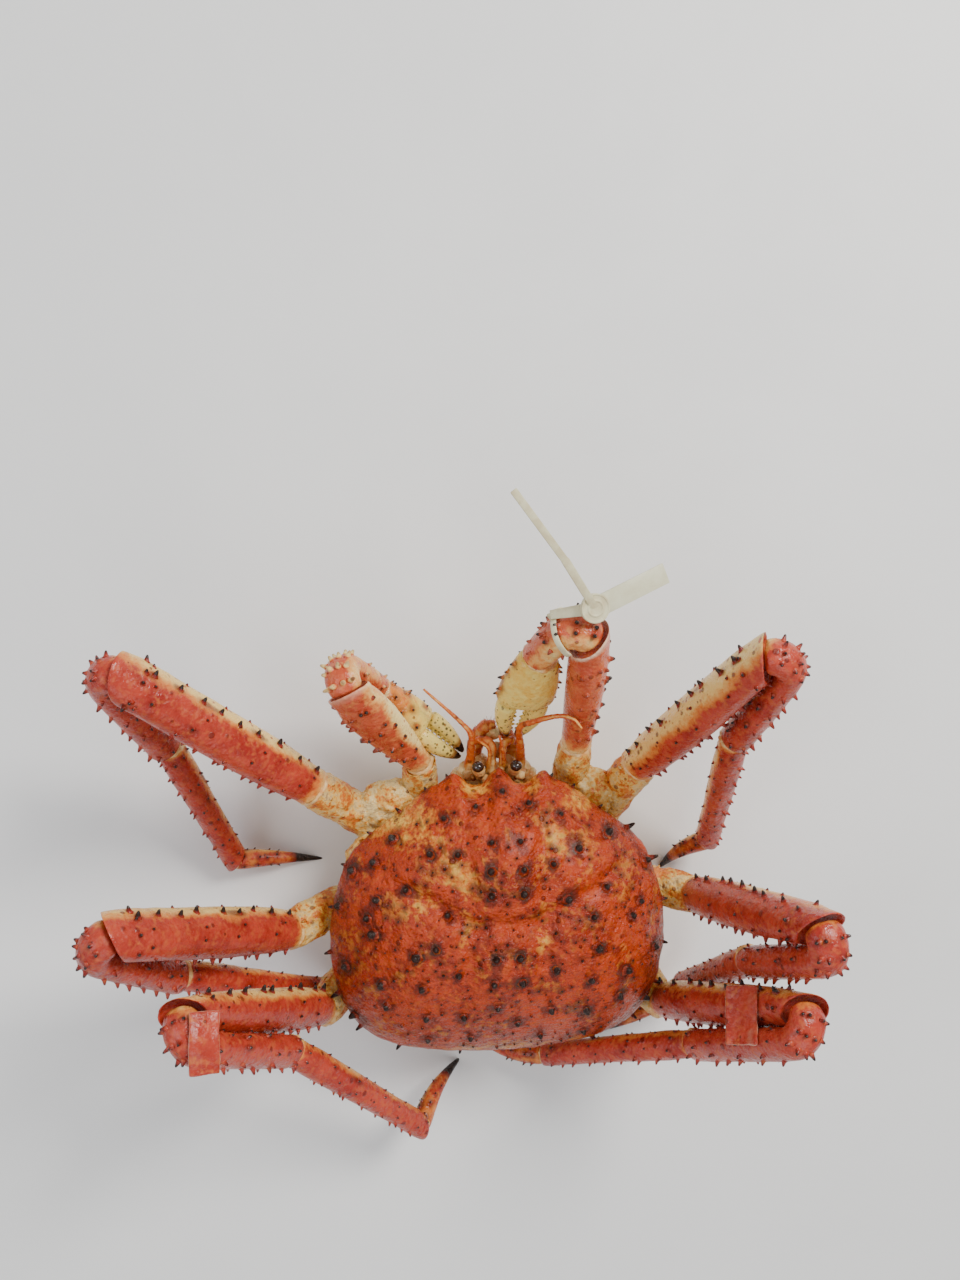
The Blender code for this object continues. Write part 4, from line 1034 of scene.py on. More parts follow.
def knuckle_spines(carpus, pivot, radius, ways, spread, size, dark):
    """Spines on a folded plate's bow. Spread: (degrees, leans, lift). Size: (height, foot radius)."""
    along, out, side, run = ways
    turns, leans, lift = spread
    height, foot = size
    tree = surface_of(carpus)
    made = []
    for degrees in turns:
        angle = math.radians(degrees)
        bow = along * math.sin(angle) + out * math.cos(angle)
        for lean in leans:
            way = (bow + side * (lean + chance.uniform(-0.12, 0.12))).normalized()
            found = tree.ray_cast(pivot + bow * radius, way)[0]
            if found:
                made.append((found - way * 0.0003, (way + run * lift).normalized(),
                             height * chance.uniform(0.6, 1.1), foot, dark))
    return made


# %% [markdown]
# The six walking legs.
# The joints stand where the solids have them. The meri are the pieces that the eye goes to:
# glossy, pinkish red, with dark points in rows and a cream band that fades towards the
# knee. The band runs along the edge that lies uppermost in the picture.

# %% Places and sizes of the legs
LEGS = {
    "leg_left_1": dict(root=(-0.098, 0.070, 0.054), knee=(-0.1767, 0.1351, 0.1211),
                       wrist=(-0.170, 0.095, 0.062), ankle=(-0.146, 0.022, 0.012), toe=(-0.102, 0.018),
                       band=0.28, girth=1.0, pale=1.0),
    "leg_left_2": dict(root=(-0.112, -0.008, 0.047), knee=(-0.1789, 0.0226, 0.138),
                       wrist=(-0.164, -0.017, 0.080), ankle=(-0.099, -0.054, 0.018), toe=(-0.062, -0.083),
                       band=0.36, girth=1.0, pale=0.9),
    "leg_left_3": dict(root=(-0.096, -0.053, 0.044), knee=(-0.147, -0.013, 0.144),
                       wrist=(-0.109, -0.0525, 0.0925), ankle=(-0.0445, -0.1275, 0.034),
                       toe=(-0.021, -0.108), band=0.12, girth=0.95, pale=0.85),
    "leg_right_1": dict(root=(0.078, 0.076, 0.052), knee=(0.1129, 0.1383, 0.1474),
                        wrist=(0.116, 0.096, 0.096), ankle=(0.125, 0.026, 0.025), toe=(0.105, 0.005),
                        band=-0.40, girth=1.0, pale=1.25),
    "leg_right_2": dict(root=(0.111, 0.001, 0.046), knee=(0.129, 0.020, 0.165),
                        wrist=(0.122, -0.016, 0.101), ankle=(0.112, -0.062, 0.017), toe=(0.061, -0.095),
                        band=0.66, girth=1.0, pale=0.65),
    "leg_right_3": dict(root=(0.092, -0.060, 0.042), knee=(0.126, -0.022, 0.153),
                        wrist=(0.0965, -0.0630, 0.0895), ankle=(0.0285, -0.0955, 0.024),
                        toe=(-0.010, -0.094), band=0.28, girth=0.95, pale=0.75),
}
HIPS = {
    "claw": ((0.0330, 0.0600), (0.0500, 0.0475)),
    "leg_1": ((0.0500, 0.0475), (0.0640, 0.0205)),
    "leg_2": ((0.0640, 0.0205), (0.0650, -0.0105)),
    "leg_3": ((0.0650, -0.0105), (0.0560, -0.0390)),
}
HIP_Z = 0.0252
KNEE_RADIUS = 0.0084
KNEE_SHIFT = 0.0026
KNEE_CUT = math.radians(48)
UP = Vector((0, 0, 1))


def hip_of(name):
    """Middle and outward normal of the body's facet that carries a limb."""
    (x0, y0), (x1, y1) = HIPS[name.replace("_left", "").replace("_right", "")]
    sign = -1 if "left" in name else 1
    normal = Vector((abs(y1 - y0), abs(x1 - x0), 0)).normalized()
    if (x1 - x0) * (y1 - y0) > 0:
        normal.y = -normal.y
    return Vector(((x0 + x1) / 2 * sign, (y0 + y1) / 2, HIP_Z)), Vector((normal.x * sign, normal.y, 0))


# %% Paint a plate of a limb
def seen_frame(start, end):
    """The way to a plate's upper edge in the picture, and the way out of the face that it shows."""
    along = (end - start).normalized()
    sight = ((start + end) / 2 - CAMERA_PLACE).normalized()
    edge = along.cross(sight).normalized()
    edge = edge if edge.y > 0 else -edge
    rise = along.cross(edge)
    return edge, rise if rise.dot(sight) < 0 else -rise


def paint_limb(piece, start, end, strength, root_pale=0.10, edge=None, floor_pale=0.0,
               rim_plane=None, band_from=0.35):
    """Cream along the upper edge and near the root, and a bare rim at the plane of the far joint."""
    along = (end - start).normalized()
    length = (end - start).length
    way = edge or seen_frame(start, end)[0]
    reach = max((vert.co - start).dot(way) for vert in piece.data.vertices)

    def pale(place, normal):
        share = (place - start).dot(along) / length
        aside = 0.4 * normal.dot(way) + 0.6 * (place - start).dot(way) / reach
        band = ease(aside, band_from, 0.98) * strength * (1.0 - 0.35 * ease(share, 0.5, 1.0))
        near_root = 0.80 * (1 - ease(share, 0.0, root_pale)) if root_pale > 0 else 0.0
        return max(band, floor_pale, near_root)

    paint(piece, "pale", pale)
    paint_even(piece, rim=0.0, tip=0.0)
    if rim_plane:
        point, out, amount = rim_plane
        paint(piece, "rim", lambda place, normal:
              amount * (1 - ease((point - place).dot(out), 0.0008, 0.0020)))


# %% Shape of the plates of a leg
MERUS = ((0.0, 0.80, 0.80, 0.74), (0.025, 0.87, 0.89, 0.81), (0.05, 0.82, 0.84, 0.76),
         (0.10, 0.93, 0.95, 0.86), (0.20, 0.98, 0.99, 0.87), (0.34, 1.02, 1.02, 0.88),
         (0.48, 1.03, 1.03, 0.86), (0.62, 1.02, 1.02, 0.84), (0.76, 1.01, 1.00, 0.72),
         (0.86, 1.00, 0.98, 0.62), (0.93, 1.03, 0.95, 0.57), (0.975, 1.01, 0.88, 0.52),
         (1.0, 0.94, 0.82, 0.50))
CARPUS = ((0.0, 1.0, 0.94, 0.72), (0.20, 1.03, 0.98, 0.78), (0.45, 1.04, 1.0, 0.80),
          (0.72, 1.02, 1.0, 0.80), (0.88, 1.05, 1.02, 0.82), (0.96, 1.02, 0.99, 0.80),
          (1.0, 0.95, 0.94, 0.76))
PROPODUS = ((0.0, 0.96, 0.90, 0.86), (0.03, 1.08, 1.00, 0.95), (0.07, 1.04, 0.98, 0.93),
            (0.15, 1.13, 1.07, 1.0), (0.32, 1.05, 1.02, 0.97), (0.50, 1.00, 0.98, 0.94),
            (0.70, 0.95, 0.94, 0.90), (0.86, 0.95, 0.93, 0.89), (0.94, 1.02, 0.99, 0.94),
            (1.0, 0.95, 0.93, 0.89))
LEG_BASE = ((0.0, 0.94), (0.14, 0.98), (0.30, 1.0), (0.36, 0.90), (0.42, 1.0), (0.60, 1.03),
            (0.66, 0.92), (0.72, 1.02), (0.86, 1.03), (1.0, 0.93))
HORN = ((0.0, 0.94), (0.06, 1.02), (0.14, 0.98), (0.25, 0.92), (0.36, 0.84), (0.48, 0.74),
        (0.60, 0.63), (0.72, 0.51), (0.82, 0.40), (0.91, 0.31))
LEG_BASE_HALF = 0.0108
MERUS_SIZE = (0.0125, 0.0118)
KNEE_SIZE = (0.0092, 0.0088)
PROPODUS_SIZE = (0.0072, 0.0076)
HORN_HALF = 0.0056
HORN_BOW = 0.0030
TOE_HALF = 0.0012
BASE_ROWS = ((70, 0.5, 0.9, 2, 0.7, 0.2), (110, 0.5, 0.9, 2, 0.7, 0.2))
LEG_ROWS = ((8, 0.12, 0.92, 6, 0.45, 0.65), (38, 0.08, 0.94, 9, 1.15, 1.1), (72, 0.14, 0.88, 4, 0.5, 0.65),
            (105, 0.16, 0.86, 4, 0.55, 0.8), (138, 0.12, 0.90, 5, 0.5, 0.6),
            (168, 0.08, 0.95, 11, 0.85, 0.40), (190, 0.25, 0.94, 8, 0.75, 0.35),
            (222, 0.2, 0.86, 4, 0.4), (262, 0.2, 0.86, 4, 0.4), (-28, 0.14, 0.90, 6, 0.5, 0.7),
            (-60, 0.2, 0.86, 4, 0.45))
LEG_END_ROW = tuple((degrees, 0.955, 0.955, 1, 0.85, 0.75) for degrees in (10, 45, 80, 115, 150, 180))
SMALL_ROWS = ((20, 0.10, 0.90, 4, 0.6), (55, 0.12, 0.90, 4, 0.6), (95, 0.10, 0.88, 4, 0.6),
              (135, 0.10, 0.90, 4, 0.7, 0.6), (170, 0.12, 0.90, 6, 0.8, 0.4), (210, 0.20, 0.90, 5, 0.65, 0.5),
              (250, 0.24, 0.86, 4, 0.55, 0.5), (290, 0.20, 0.88, 4, 0.6, 0.6), (330, 0.16, 0.90, 4, 0.6, 0.7))
SLIM_ROWS = ((25, 0.08, 0.92, 7, 0.55), (65, 0.08, 0.92, 6, 0.5), (105, 0.10, 0.92, 6, 0.5),
             (145, 0.08, 0.92, 7, 0.7, 0.6), (175, 0.10, 0.90, 8, 0.7, 0.4), (-25, 0.10, 0.90, 6, 0.5),
             (210, 0.10, 0.90, 6, 0.5))
HORN_ROWS = ((40, 0.10, 0.55, 4, 0.6), (90, 0.10, 0.5, 4, 0.7), (140, 0.10, 0.5, 4, 0.6))


# %% Build a leg
bare_surface = {}


def limb_base(name, root, out, along, shape, socket, sag, relief, pale):
    """The pleated plate between the body and a limb, and the plane where the next plate starts."""
    hip, facet = hip_of(name)
    way = (root - hip).normalized()
    base_end, merus_start = joint_planes(root, way, along)
    base = limb_plate(name + "_coxa", hip, root, across(out, way), shape, (hip + facet * GAP, facet),
                      base_end, socket, sag, 40, relief, folds)
    paint_limb(base, hip, root, 0.0, 1.0, UP, pale)
    return base, merus_start


def upward(side, along):
    """The way out of a plate that looks up, square to its side and to the way along it."""
    out = side.cross(along)
    return out if out.z > 0 else -out


def build_leg(name, pose):
    """The five plates of a leg, from its base to its toe."""
    girth = pose["girth"]
    hip = hip_of(name)[0]
    root, knee, wrist, ankle = (Vector(pose[key]) for key in ("root", "knee", "wrist", "ankle"))
    toe = Vector((*pose["toe"], 0.0))
    along = (knee - root).normalized()
    out, pivot, turn, begin, run = fold_frame(knee, along, wrist, KNEE_RADIUS, KNEE_SHIFT, KNEE_CUT)
    side = out.cross(along)

    way = (root - hip).normalized()
    base, merus_start = limb_base(name, root, out, along, sized_round(LEG_BASE, LEG_BASE_HALF),
                                  0.0010, 0.0065, 0.0022, 0.42)
    add_spines(base, row_spines(base, hip, root, across(side, way), across(out, way), BASE_ROWS), pale=0.7)
    hand_over(base, SHELLS["joint"], name + "_base")

    wide, deep = (size * girth for size in MERUS_SIZE)
    cut_normal = along * math.cos(KNEE_CUT) - out * math.sin(KNEE_CUT)
    merus = limb_plate(name + "_long_plate", root, knee, out, sized(MERUS, wide, deep), merus_start,
                       (knee, cut_normal), 0.0014)
    paint_limb(merus, root, knee, 1.15 * pose["pale"], band_from=pose["band"])
    bare_surface[name + "_merus"] = surface_of(merus)
    seen = seen_frame(root, knee)
    spines = row_spines(merus, root, knee, *seen, LEG_ROWS)
    spines += row_spines(merus, root, knee, *seen, LEG_END_ROW)
    add_spines(merus, spines, 1.2)
    hand_over(merus, SHELLS["leg"], name + "_merus")

    slope = (ankle - wrist).normalized()
    carpus_end, propodus_start = joint_planes(wrist, run, slope)
    shifted = (out, pivot + cut_normal * GAP, turn, begin + cut_normal * GAP, run)
    wide, deep = (size * girth for size in KNEE_SIZE)
    carpus = folded_plate(name + "_knee_plate", shifted, KNEE_CUT, wrist, sized(CARPUS, wide, deep),
                          carpus_end)
    paint_limb(carpus, begin, wrist, 0.60 * pose["pale"], 0.0)
    bare_surface[name + "_carpus"] = surface_of(carpus)
    spines = row_spines(carpus, begin, wrist, *seen_frame(begin, wrist), SMALL_ROWS)
    spines += knuckle_spines(carpus, pivot, KNEE_RADIUS, (along, out, side, run),
                             ((80, 110, 140), (-1.1, -0.45, 0.2, 0.85), 0.3), (0.0030, 0.0019), 0.7)
    add_spines(carpus, spines, 1.4)
    hand_over(carpus, SHELLS["leg"], name + "_carpus")

    fall = (toe - ankle).normalized()
    propodus_end, dactyl_start = joint_planes(ankle, slope, fall)
    wide, deep = (size * girth for size in PROPODUS_SIZE)
    propodus = limb_plate(name + "_slim_plate", wrist, ankle, upward(across(side, slope), slope),
                          sized(PROPODUS, wide, deep), propodus_start, propodus_end, 0.0008, 0.0, 32)
    paint_limb(propodus, wrist, ankle, 0.65 * pose["pale"], 0.05)
    bare_surface[name + "_propodus"] = surface_of(propodus)
    spines = row_spines(propodus, wrist, ankle, *seen_frame(wrist, ankle), SLIM_ROWS, 0.0029, 0.0018)
    add_spines(propodus, spines, 1.5)
    hand_over(propodus, SHELLS["leg"], name + "_propodus")
    build_dactyl(name, ankle, toe, fall, upward(across(side, fall), fall), dactyl_start)


def build_dactyl(name, ankle, toe, fall, out, start_plane):
    """The last plate: a bowed horn with a black point that rests on a small flat."""
    length = (toe - ankle).length
    matrix = limb_matrix(ankle, fall, out)
    back = matrix.inverted()
    rows = []
    for share, size in HORN:
        half = HORN_HALF * size
        rows.append((share * length, half, half * 1.08, half, 0.0, HORN_BOW * math.sin(math.pi * share)))
    rows.append((length - 0.001, TOE_HALF, TOE_HALF, TOE_HALF, 0.0, 0.0))
    piece = start_tube(name + "_horn", rows[0], 28)
    turn = back.to_3x3()
    slide_end(piece, UP, back @ start_plane[0], turn @ start_plane[1])
    flatten_draw(rows)
    slide_end(piece, UP, back @ Vector((0, 0, 0.0001)), turn @ UP)
    bpy.ops.mesh.inset(thickness=0.0003, depth=0.0)
    finish_plate(piece, matrix, 1, 0.0)
    paint_limb(piece, ankle, toe, 0.75, 0.04, None, 0.26)
    add_spines(piece, row_spines(piece, ankle, toe, out.cross(fall), out, HORN_ROWS, 0.0028, 0.0014))
    mesh = piece.data
    layer = mesh.attributes["tip"].data
    for number, vert in enumerate(mesh.vertices):
        share = (vert.co - ankle).dot(fall) / length
        layer[number].value = max(layer[number].value, ease(share, 0.60, 0.86))
    hand_over(piece, SHELLS["leg"], name + "_dactyl")


for leg_name, leg_pose in LEGS.items():
    build_leg(leg_name, leg_pose)
open_pieces = {name: check_closed(piece) for name, piece in pieces.items() if check_closed(piece)}
print("leg pieces", len(pieces), "open edges", open_pieces)

# %% [markdown]
# The claws.
# The right claw is the larger. Each hangs from its base by a merus that widens to the elbow,
# folds back through a short carpus and ends in a palm with two fingers. The palm and the
# fixed finger are one plate on the animal, so they are joined to one piece here; the other
# finger is its own. Their inner faces are yellow with dark specks that thicken towards the
# dark tips, and low blunt teeth line the edges that meet.

# %% Places and sizes of the claws
CLAWS = {
    "claw_left": dict(root=(-0.041, 0.080, 0.047), elbow=(-0.076, 0.125, 0.098),
                      wrist=(-0.0625, 0.1205, 0.0583), tips=(-0.018, 0.083, 0.0395),
                      broad=(0.35, 0.80, -0.50), wide=0.0112, girth=0.92),
    "claw_right": dict(root=(0.044, 0.088, 0.050), elbow=(0.038, 0.148, 0.112),
                       wrist=(0.0175, 0.139, 0.096), tips=(0.009, 0.094, 0.047),
                       broad=(-1.0, 0.0, 0.0), wide=0.0155, girth=1.06),
}
CLAW_RADIUS = 0.0085
CLAW_SHIFT = 0.0020
CLAW_CUT = math.radians(38)
CLAW_BASE_HALF = 0.0100
ARM_ROOT_HALF = 0.0078
ARM_END_HALF = 0.0118
ELBOW_HALF = 0.0096
PALM_DEEP = 0.0085
FINGER_HALF = 0.0052
PALM_SHARE = 0.54
FINGER_SHARE = 0.46
FINGER_ASIDE = 0.52
FINGER_BOW = 0.66
CLAW_BASE = ((0.0, 0.94), (0.15, 1.0), (0.34, 1.02), (0.42, 0.92), (0.50, 1.0), (0.70, 0.97),
             (0.85, 0.93), (1.0, 0.85))
ARM_ROOT = ((0.0, 0.96, 0.96, 0.96), (0.05, 1.06, 1.04, 1.02), (0.10, 1.03, 1.0, 0.95),
            (0.25, 1.28, 1.12, 1.0))
ARM_END = ((0.42, 1.02, 0.86, 0.68), (0.60, 1.13, 0.92, 0.66), (0.76, 1.17, 0.95, 0.66),
           (0.88, 1.12, 0.95, 0.66), (0.93, 0.95, 0.90, 0.63), (0.97, 1.04, 0.92, 0.66),
           (1.0, 1.0, 0.84, 0.62))
ELBOW = ((0.0, 1.0, 0.94, 0.72), (0.4, 1.0, 0.93, 0.68), (0.75, 0.96, 0.90, 0.65), (1.0, 0.88, 0.86, 0.62))
PALM_SHAPE = ((0.0, 0.60, 0.78, 0.78), (0.06, 0.70, 0.90, 0.90), (0.16, 0.76, 0.95, 0.95),
              (0.34, 0.86, 1.0, 1.0), (0.55, 0.95, 1.02, 1.02), (0.75, 1.0, 1.0, 1.0),
              (0.90, 1.0, 0.95, 0.95), (1.0, 0.95, 0.84, 0.84))
FINGER_SHAPE = ((0.08, 1.03), (0.22, 1.02), (0.36, 0.97), (0.50, 0.90), (0.64, 0.80), (0.76, 0.68),
                (0.87, 0.53), (0.95, 0.37), (1.0, 0.20))
CLAW_MERUS_ROWS = ((90, 0.22, 0.88, 4, 1.0, 0.7), (62, 0.20, 0.90, 4, 0.8, 0.7),
                   (35, 0.25, 0.88, 4, 0.7, 0.6), (118, 0.20, 0.90, 4, 0.8, 0.6),
                   (145, 0.22, 0.90, 5, 0.9, 0.55), (175, 0.25, 0.86, 5, 1.0, 0.4))
ELBOW_ROWS = tuple((degrees, 0.25, 0.85, 2, 0.7, 0.4) for degrees in (15, 60, 105, 150, 195, 240, 285, 330))
PALM_ROWS = ((90, 0.15, 0.60, 2, 0.6), (40, 0.15, 0.75, 3, 0.6), (130, 0.15, 0.75, 3, 0.6),
             (0, 0.12, 0.85, 5, 0.8), (180, 0.12, 0.85, 5, 0.8))


# %% A finger of a claw
def build_finger(name, matrix, palm_length, reach, wide, half, way, start_share):
    """A curved horn beside the other finger, with blunt teeth along its inner edge."""
    rows = []
    for share, size in ((start_share, 0.94),) + FINGER_SHAPE:
        inward = 1 - FINGER_BOW * max(0.0, share) ** 2
        bulge = 1.0 + 0.10 * math.sin(math.pi * max(0.0, share))
        height = palm_length + reach * share + (GAP if way > 0 else 0.0)
        rows.append((height, half * size, half * size * 1.15, half * size * 1.15,
                     way * wide * FINGER_ASIDE * inward * bulge, 0.0))
    finger = start_tube(name, rows[0], 28)
    flatten_draw(rows)
    bpy.ops.mesh.poke()
    finish_plate(finger, matrix, 1, 0.0004)
    paint_even(finger, pale=0.0, rim=0.0, tip=0.0)
    teeth = []
    across_palm = matrix.to_3x3() @ Vector((1, 0, 0))
    for number in range(7):
        share = 0.10 + 0.115 * number
        inward = 1 - FINGER_BOW * share ** 2
        spot = matrix @ Vector((way * wide * FINGER_ASIDE * inward, 0, palm_length + reach * share))
        edge = half * (1.0 - 0.62 * share ** 2) * 0.93
        teeth.append((spot - across_palm * way * edge, -across_palm * way,
                      0.0012 + 0.0006 * (number % 2), 0.0019 - 0.0001 * number, 0.1))
    return finger, teeth


def join(pieces_to_join, name):
    """Joins pieces to the first one."""
    bpy.ops.object.select_all(action="DESELECT")
    for piece in pieces_to_join:
        piece.select_set(True)
    bpy.context.view_layer.objects.active = pieces_to_join[0]
    bpy.ops.object.join()
    pieces_to_join[0].name = name
    return pieces_to_join[0]


# %% Build a claw
def build_claw(name, pose):
    """A claw's base, merus and carpus, and its palm and fingers; also the fold that the tag grips."""
    girth = pose["girth"]
    hip = hip_of(name)[0]
    root, elbow, wrist, tips = (Vector(pose[key]) for key in ("root", "elbow", "wrist", "tips"))
    along = (elbow - root).normalized()
    out, pivot, turn, begin, run = fold_frame(elbow, along, wrist, CLAW_RADIUS, CLAW_SHIFT, CLAW_CUT)
    side = out.cross(along)
    inner = side if side.x * hip.x < 0 else -side
    left = name == "claw_left"

    base, merus_start = limb_base(name, root, out, along, sized_round(CLAW_BASE, CLAW_BASE_HALF),
                                  0.0009, 0.0, 0.0020, 0.48)
    hand_over(base, SHELLS["joint"], name + "_base")

    first = ARM_ROOT_HALF * girth
    last = ARM_END_HALF * girth
    shape = sized(ARM_ROOT, first, first) + sized(ARM_END, last, last)
    cut_normal = along * math.cos(CLAW_CUT) - out * math.sin(CLAW_CUT)
    merus = limb_plate(name + "_arm_plate", root, elbow, out, shape, merus_start, (elbow, cut_normal), 0.0012)
    paint_limb(merus, root, elbow, 1.0, 0.22, inner if left else -inner, 0.0,
               (elbow, cut_normal, 0.45 if left else 1.0))
    add_spines(merus, row_spines(merus, root, elbow, side, out, CLAW_MERUS_ROWS, 0.0032, 0.0026, 0.5), 0.9)
    hand_over(merus, SHELLS["claw"], name + "_merus")

    carpus_end, palm_start = joint_planes(wrist, run, (tips - wrist).normalized())
    shifted = (out, pivot + cut_normal * GAP, turn, begin + cut_normal * GAP, run)
    half = ELBOW_HALF * girth
    carpus = folded_plate(name + "_elbow_plate", shifted, CLAW_CUT, wrist, sized(ELBOW, half, half),
                          carpus_end)
    paint_limb(carpus, begin, wrist, 0.45, 0.0, inner)
    spines = knuckle_spines(carpus, pivot, CLAW_RADIUS, (along, out, side, run),
                            ((60, 90, 120, 150), (-0.9, -0.3, 0.3, 0.9), 0.2), (0.0040, 0.0023),
                            0.25 if left else 0.8)
    spines += row_spines(carpus, begin, wrist, *seen_frame(begin, wrist), ELBOW_ROWS, 0.0030, 0.0021)
    add_spines(carpus, spines, 1.2, 0.9 if left else 0.0)
    hand_over(carpus, SHELLS["claw"], name + "_carpus")
    build_palm(name, pose, wrist, tips, palm_start)
    return shifted, along, -side, half


def palm_pale(place, wrist, along, out, length, deep):
    """Cream, with more specks towards the fingers, but for one orange patch near the wrist."""
    share = (place - wrist).dot(along) / length
    patch = wrist + along * 0.16 * length + out * deep
    return 0.62 + 0.38 * ease(share, 0.30, 0.72) - 0.62 * math.exp(-((place - patch).length / 0.0095) ** 2)


def build_palm(name, pose, wrist, tips, palm_start):
    """The palm with its fixed finger, and the other finger."""
    w = (tips - wrist).normalized()
    broad = across(Vector(pose["broad"]), w)
    thin = w.cross(broad)
    length = (tips - wrist).length
    palm_length = length * PALM_SHARE
    palm_end = wrist + w * palm_length
    wide = pose["wide"]
    deep = PALM_DEEP * pose["girth"]
    half = FINGER_HALF * pose["girth"]
    matrix = limb_matrix(wrist, w, thin)
    palm = limb_plate(name + "_hand", wrist, palm_end, thin, sized(PALM_SHAPE, wide, deep), palm_start,
                      (palm_end, w), 0.0)
    paint_even(palm, pale=0.0, rim=0.0, tip=0.0)
    reach = length * FINGER_SHARE
    fixed, fixed_teeth = build_finger("fixed_finger", matrix, palm_length, reach, wide, half, -1, -0.12)
    finger, finger_teeth = build_finger(name + "_free_finger", matrix, palm_length, reach, wide, half, 1, 0.0)
    add_spines(fixed, fixed_teeth)
    add_spines(finger, finger_teeth)
    palm = join([palm, fixed], name + "_hand")
    for piece in (palm, finger):
        paint(piece, "pale", lambda place, normal: palm_pale(place, wrist, w, thin, length, deep))
        paint(piece, "tip", lambda place, normal: ease((place - wrist).dot(w) / length, 0.84, 1.0))
    add_spines(palm, row_spines(palm, wrist, palm_end, broad, thin, PALM_ROWS, 0.0034, 0.0019, 0.4))
    hand_over(palm, SHELLS["palm"], name + "_palm")
    hand_over(finger, SHELLS["palm"], name + "_finger")


claw_folds = {}
for claw_name, claw_pose in CLAWS.items():
    claw_folds[claw_name] = build_claw(claw_name, claw_pose)
print("claw pieces", [n for n in pieces if "claw" in n])

# %% [markdown]
# The head.
# Under the beak sits a small block that carries two short-stalked black eyes, two thick-based
# antennae, the thin paired antennules and two bent palps between them and, lowest, the
# jointed mouth limbs. The block is a drawn-out tube; the rest are rods that bend and
# taper, quickest from curves whose thickness pulses with their joints, made into meshes
# afterwards.

# %% Bent rods
def bent_rod(name, points, joints=0, pulse=0.0, steps=8, rounds=3):
    """A rod through (place, half thickness), smoothly bent; its thickness pulses once a joint."""
    curve = bpy.data.curves.new(name, "CURVE")
    curve.dimensions = "3D"
    curve.bevel_depth = 1.0
    curve.bevel_resolution = rounds
    curve.use_fill_caps = True
    places = [Vector((*place, half)) for place, half in points]
    places = [places[0] * 2 - places[1]] + places + [places[-1] * 2 - places[-2]]
    dense = []
    for i in range(1, len(places) - 2):
        a, b, c, d = places[i - 1:i + 3]
        for step in range(steps):
            dense.append(rounded(a, b, c, d, step / steps))
    dense.append(places[-2])
    spline = curve.splines.new("POLY")
    spline.points.add(len(dense) - 1)
    for i, (point, value) in enumerate(zip(spline.points, dense)):
        beat = (i / (len(dense) - 1) * joints) % 1.0 if joints else 0.0
        point.co = (value.x, value.y, value.z, 1.0)
        point.radius = max(0.0002, value.w * (1.0 + pulse * (beat - 0.5)))
    rod = bpy.data.objects.new(name, curve)
    bpy.context.scene.collection.objects.link(rod)
    solo(rod)
    bpy.ops.object.convert(target="MESH")
    rod = bpy.context.object
    edit_all()
    bpy.ops.mesh.remove_doubles(threshold=0.00001)
    return finish_plate(rod, None, 0)


# %% Build the head
HEAD_BACK = 0.0613
HEAD_RINGS = ((0.0613, 0.0220, 0.0185, 0.0), (0.0640, 0.0222, 0.0200, 0.0010),
              (0.0665, 0.0212, 0.0208, 0.0022), (0.0690, 0.0192, 0.0200, 0.0045),
              (0.0708, 0.0172, 0.0190, 0.0062), (0.0715, 0.0150, 0.0170, 0.0066))
HEAD_SPIKES = ((0.0062, 0.0395, 0.0050), (0.0120, 0.0430, 0.0065), (0.0165, 0.0420, 0.0060),
               (0.0190, 0.0385, 0.0050))
head_rows = [(y - HEAD_BACK, wide, high / 2, high / 2, 0.0, low) for y, wide, high, low in HEAD_RINGS]
head = start_tube("head_block", head_rows[0], 32)
flatten_draw(head_rows)
bpy.ops.mesh.inset(thickness=0.003, depth=0.0)
bpy.ops.mesh.inset(thickness=0.003, depth=-0.0015)
finish_plate(head, limb_matrix(Vector((0, HEAD_BACK, 0.02925)), Vector((0, 1, 0)), UP), 1, 0.0016)
paint(head, "pale", lambda place, normal: 0.35 + 0.5 * abs(math.sin(place.x * 420)))
paint_even(head, rim=0.0, tip=0.0)
spikes = []
for sign in (-1, 1):
    for x, z, tall in HEAD_SPIKES:
        way = Vector((0.25 * sign, 0.8, 0.55)).normalized()
        spikes.append((Vector((x * sign, 0.0700, z)), way, tall, 0.0013, 0.0))
add_spines(head, spikes, pale=0.95)
hand_over(head, SHELLS["joint"], "head")

# %% Eyes on their stalks
STALK = ((0.0082, 0.0705, 0.0420, 0.0027), (0.0088, 0.0732, 0.0460, 0.0028), (0.0093, 0.0750, 0.0500, 0.0033),
         (0.0098, 0.0764, 0.0528, 0.0034), (0.0101, 0.0780, 0.0542, 0.0027))
EYE_WAY = Vector((0.0, 0.75, 0.66)).normalized()
for side_name, sign in (("left", -1), ("right", 1)):
    stalk = bent_rod("eye_stalk_" + side_name, [((x * sign, y, z), half) for x, y, z, half in STALK], 3, 0.12)
    paint_even(stalk, pale=0.75, rim=0.0, tip=0.0)
    hand_over(stalk, SHELLS["feeler"])
    bpy.ops.object.select_all(action="DESELECT")
    eye_place = Vector((0.0103 * sign, 0.0782, 0.0548))
    bpy.ops.mesh.primitive_uv_sphere_add(segments=32, ring_count=20, radius=0.0033, location=eye_place)
    ball = bpy.context.object
    ball.name = "eye_ball_" + side_name
    edit_all()
    bpy.ops.transform.resize(value=(1.0, 0.94, 1.06), center_override=eye_place)
    bpy.ops.mesh.bisect(plane_co=eye_place - EYE_WAY * 0.0012, plane_no=EYE_WAY, clear_inner=True,
                        use_fill=True)
    finish_plate(ball, ball.matrix_world.copy(), 1)
    hand_over(ball, EYE, "eye_" + side_name)
print("eyes", [n for n in pieces if "eye" in n])

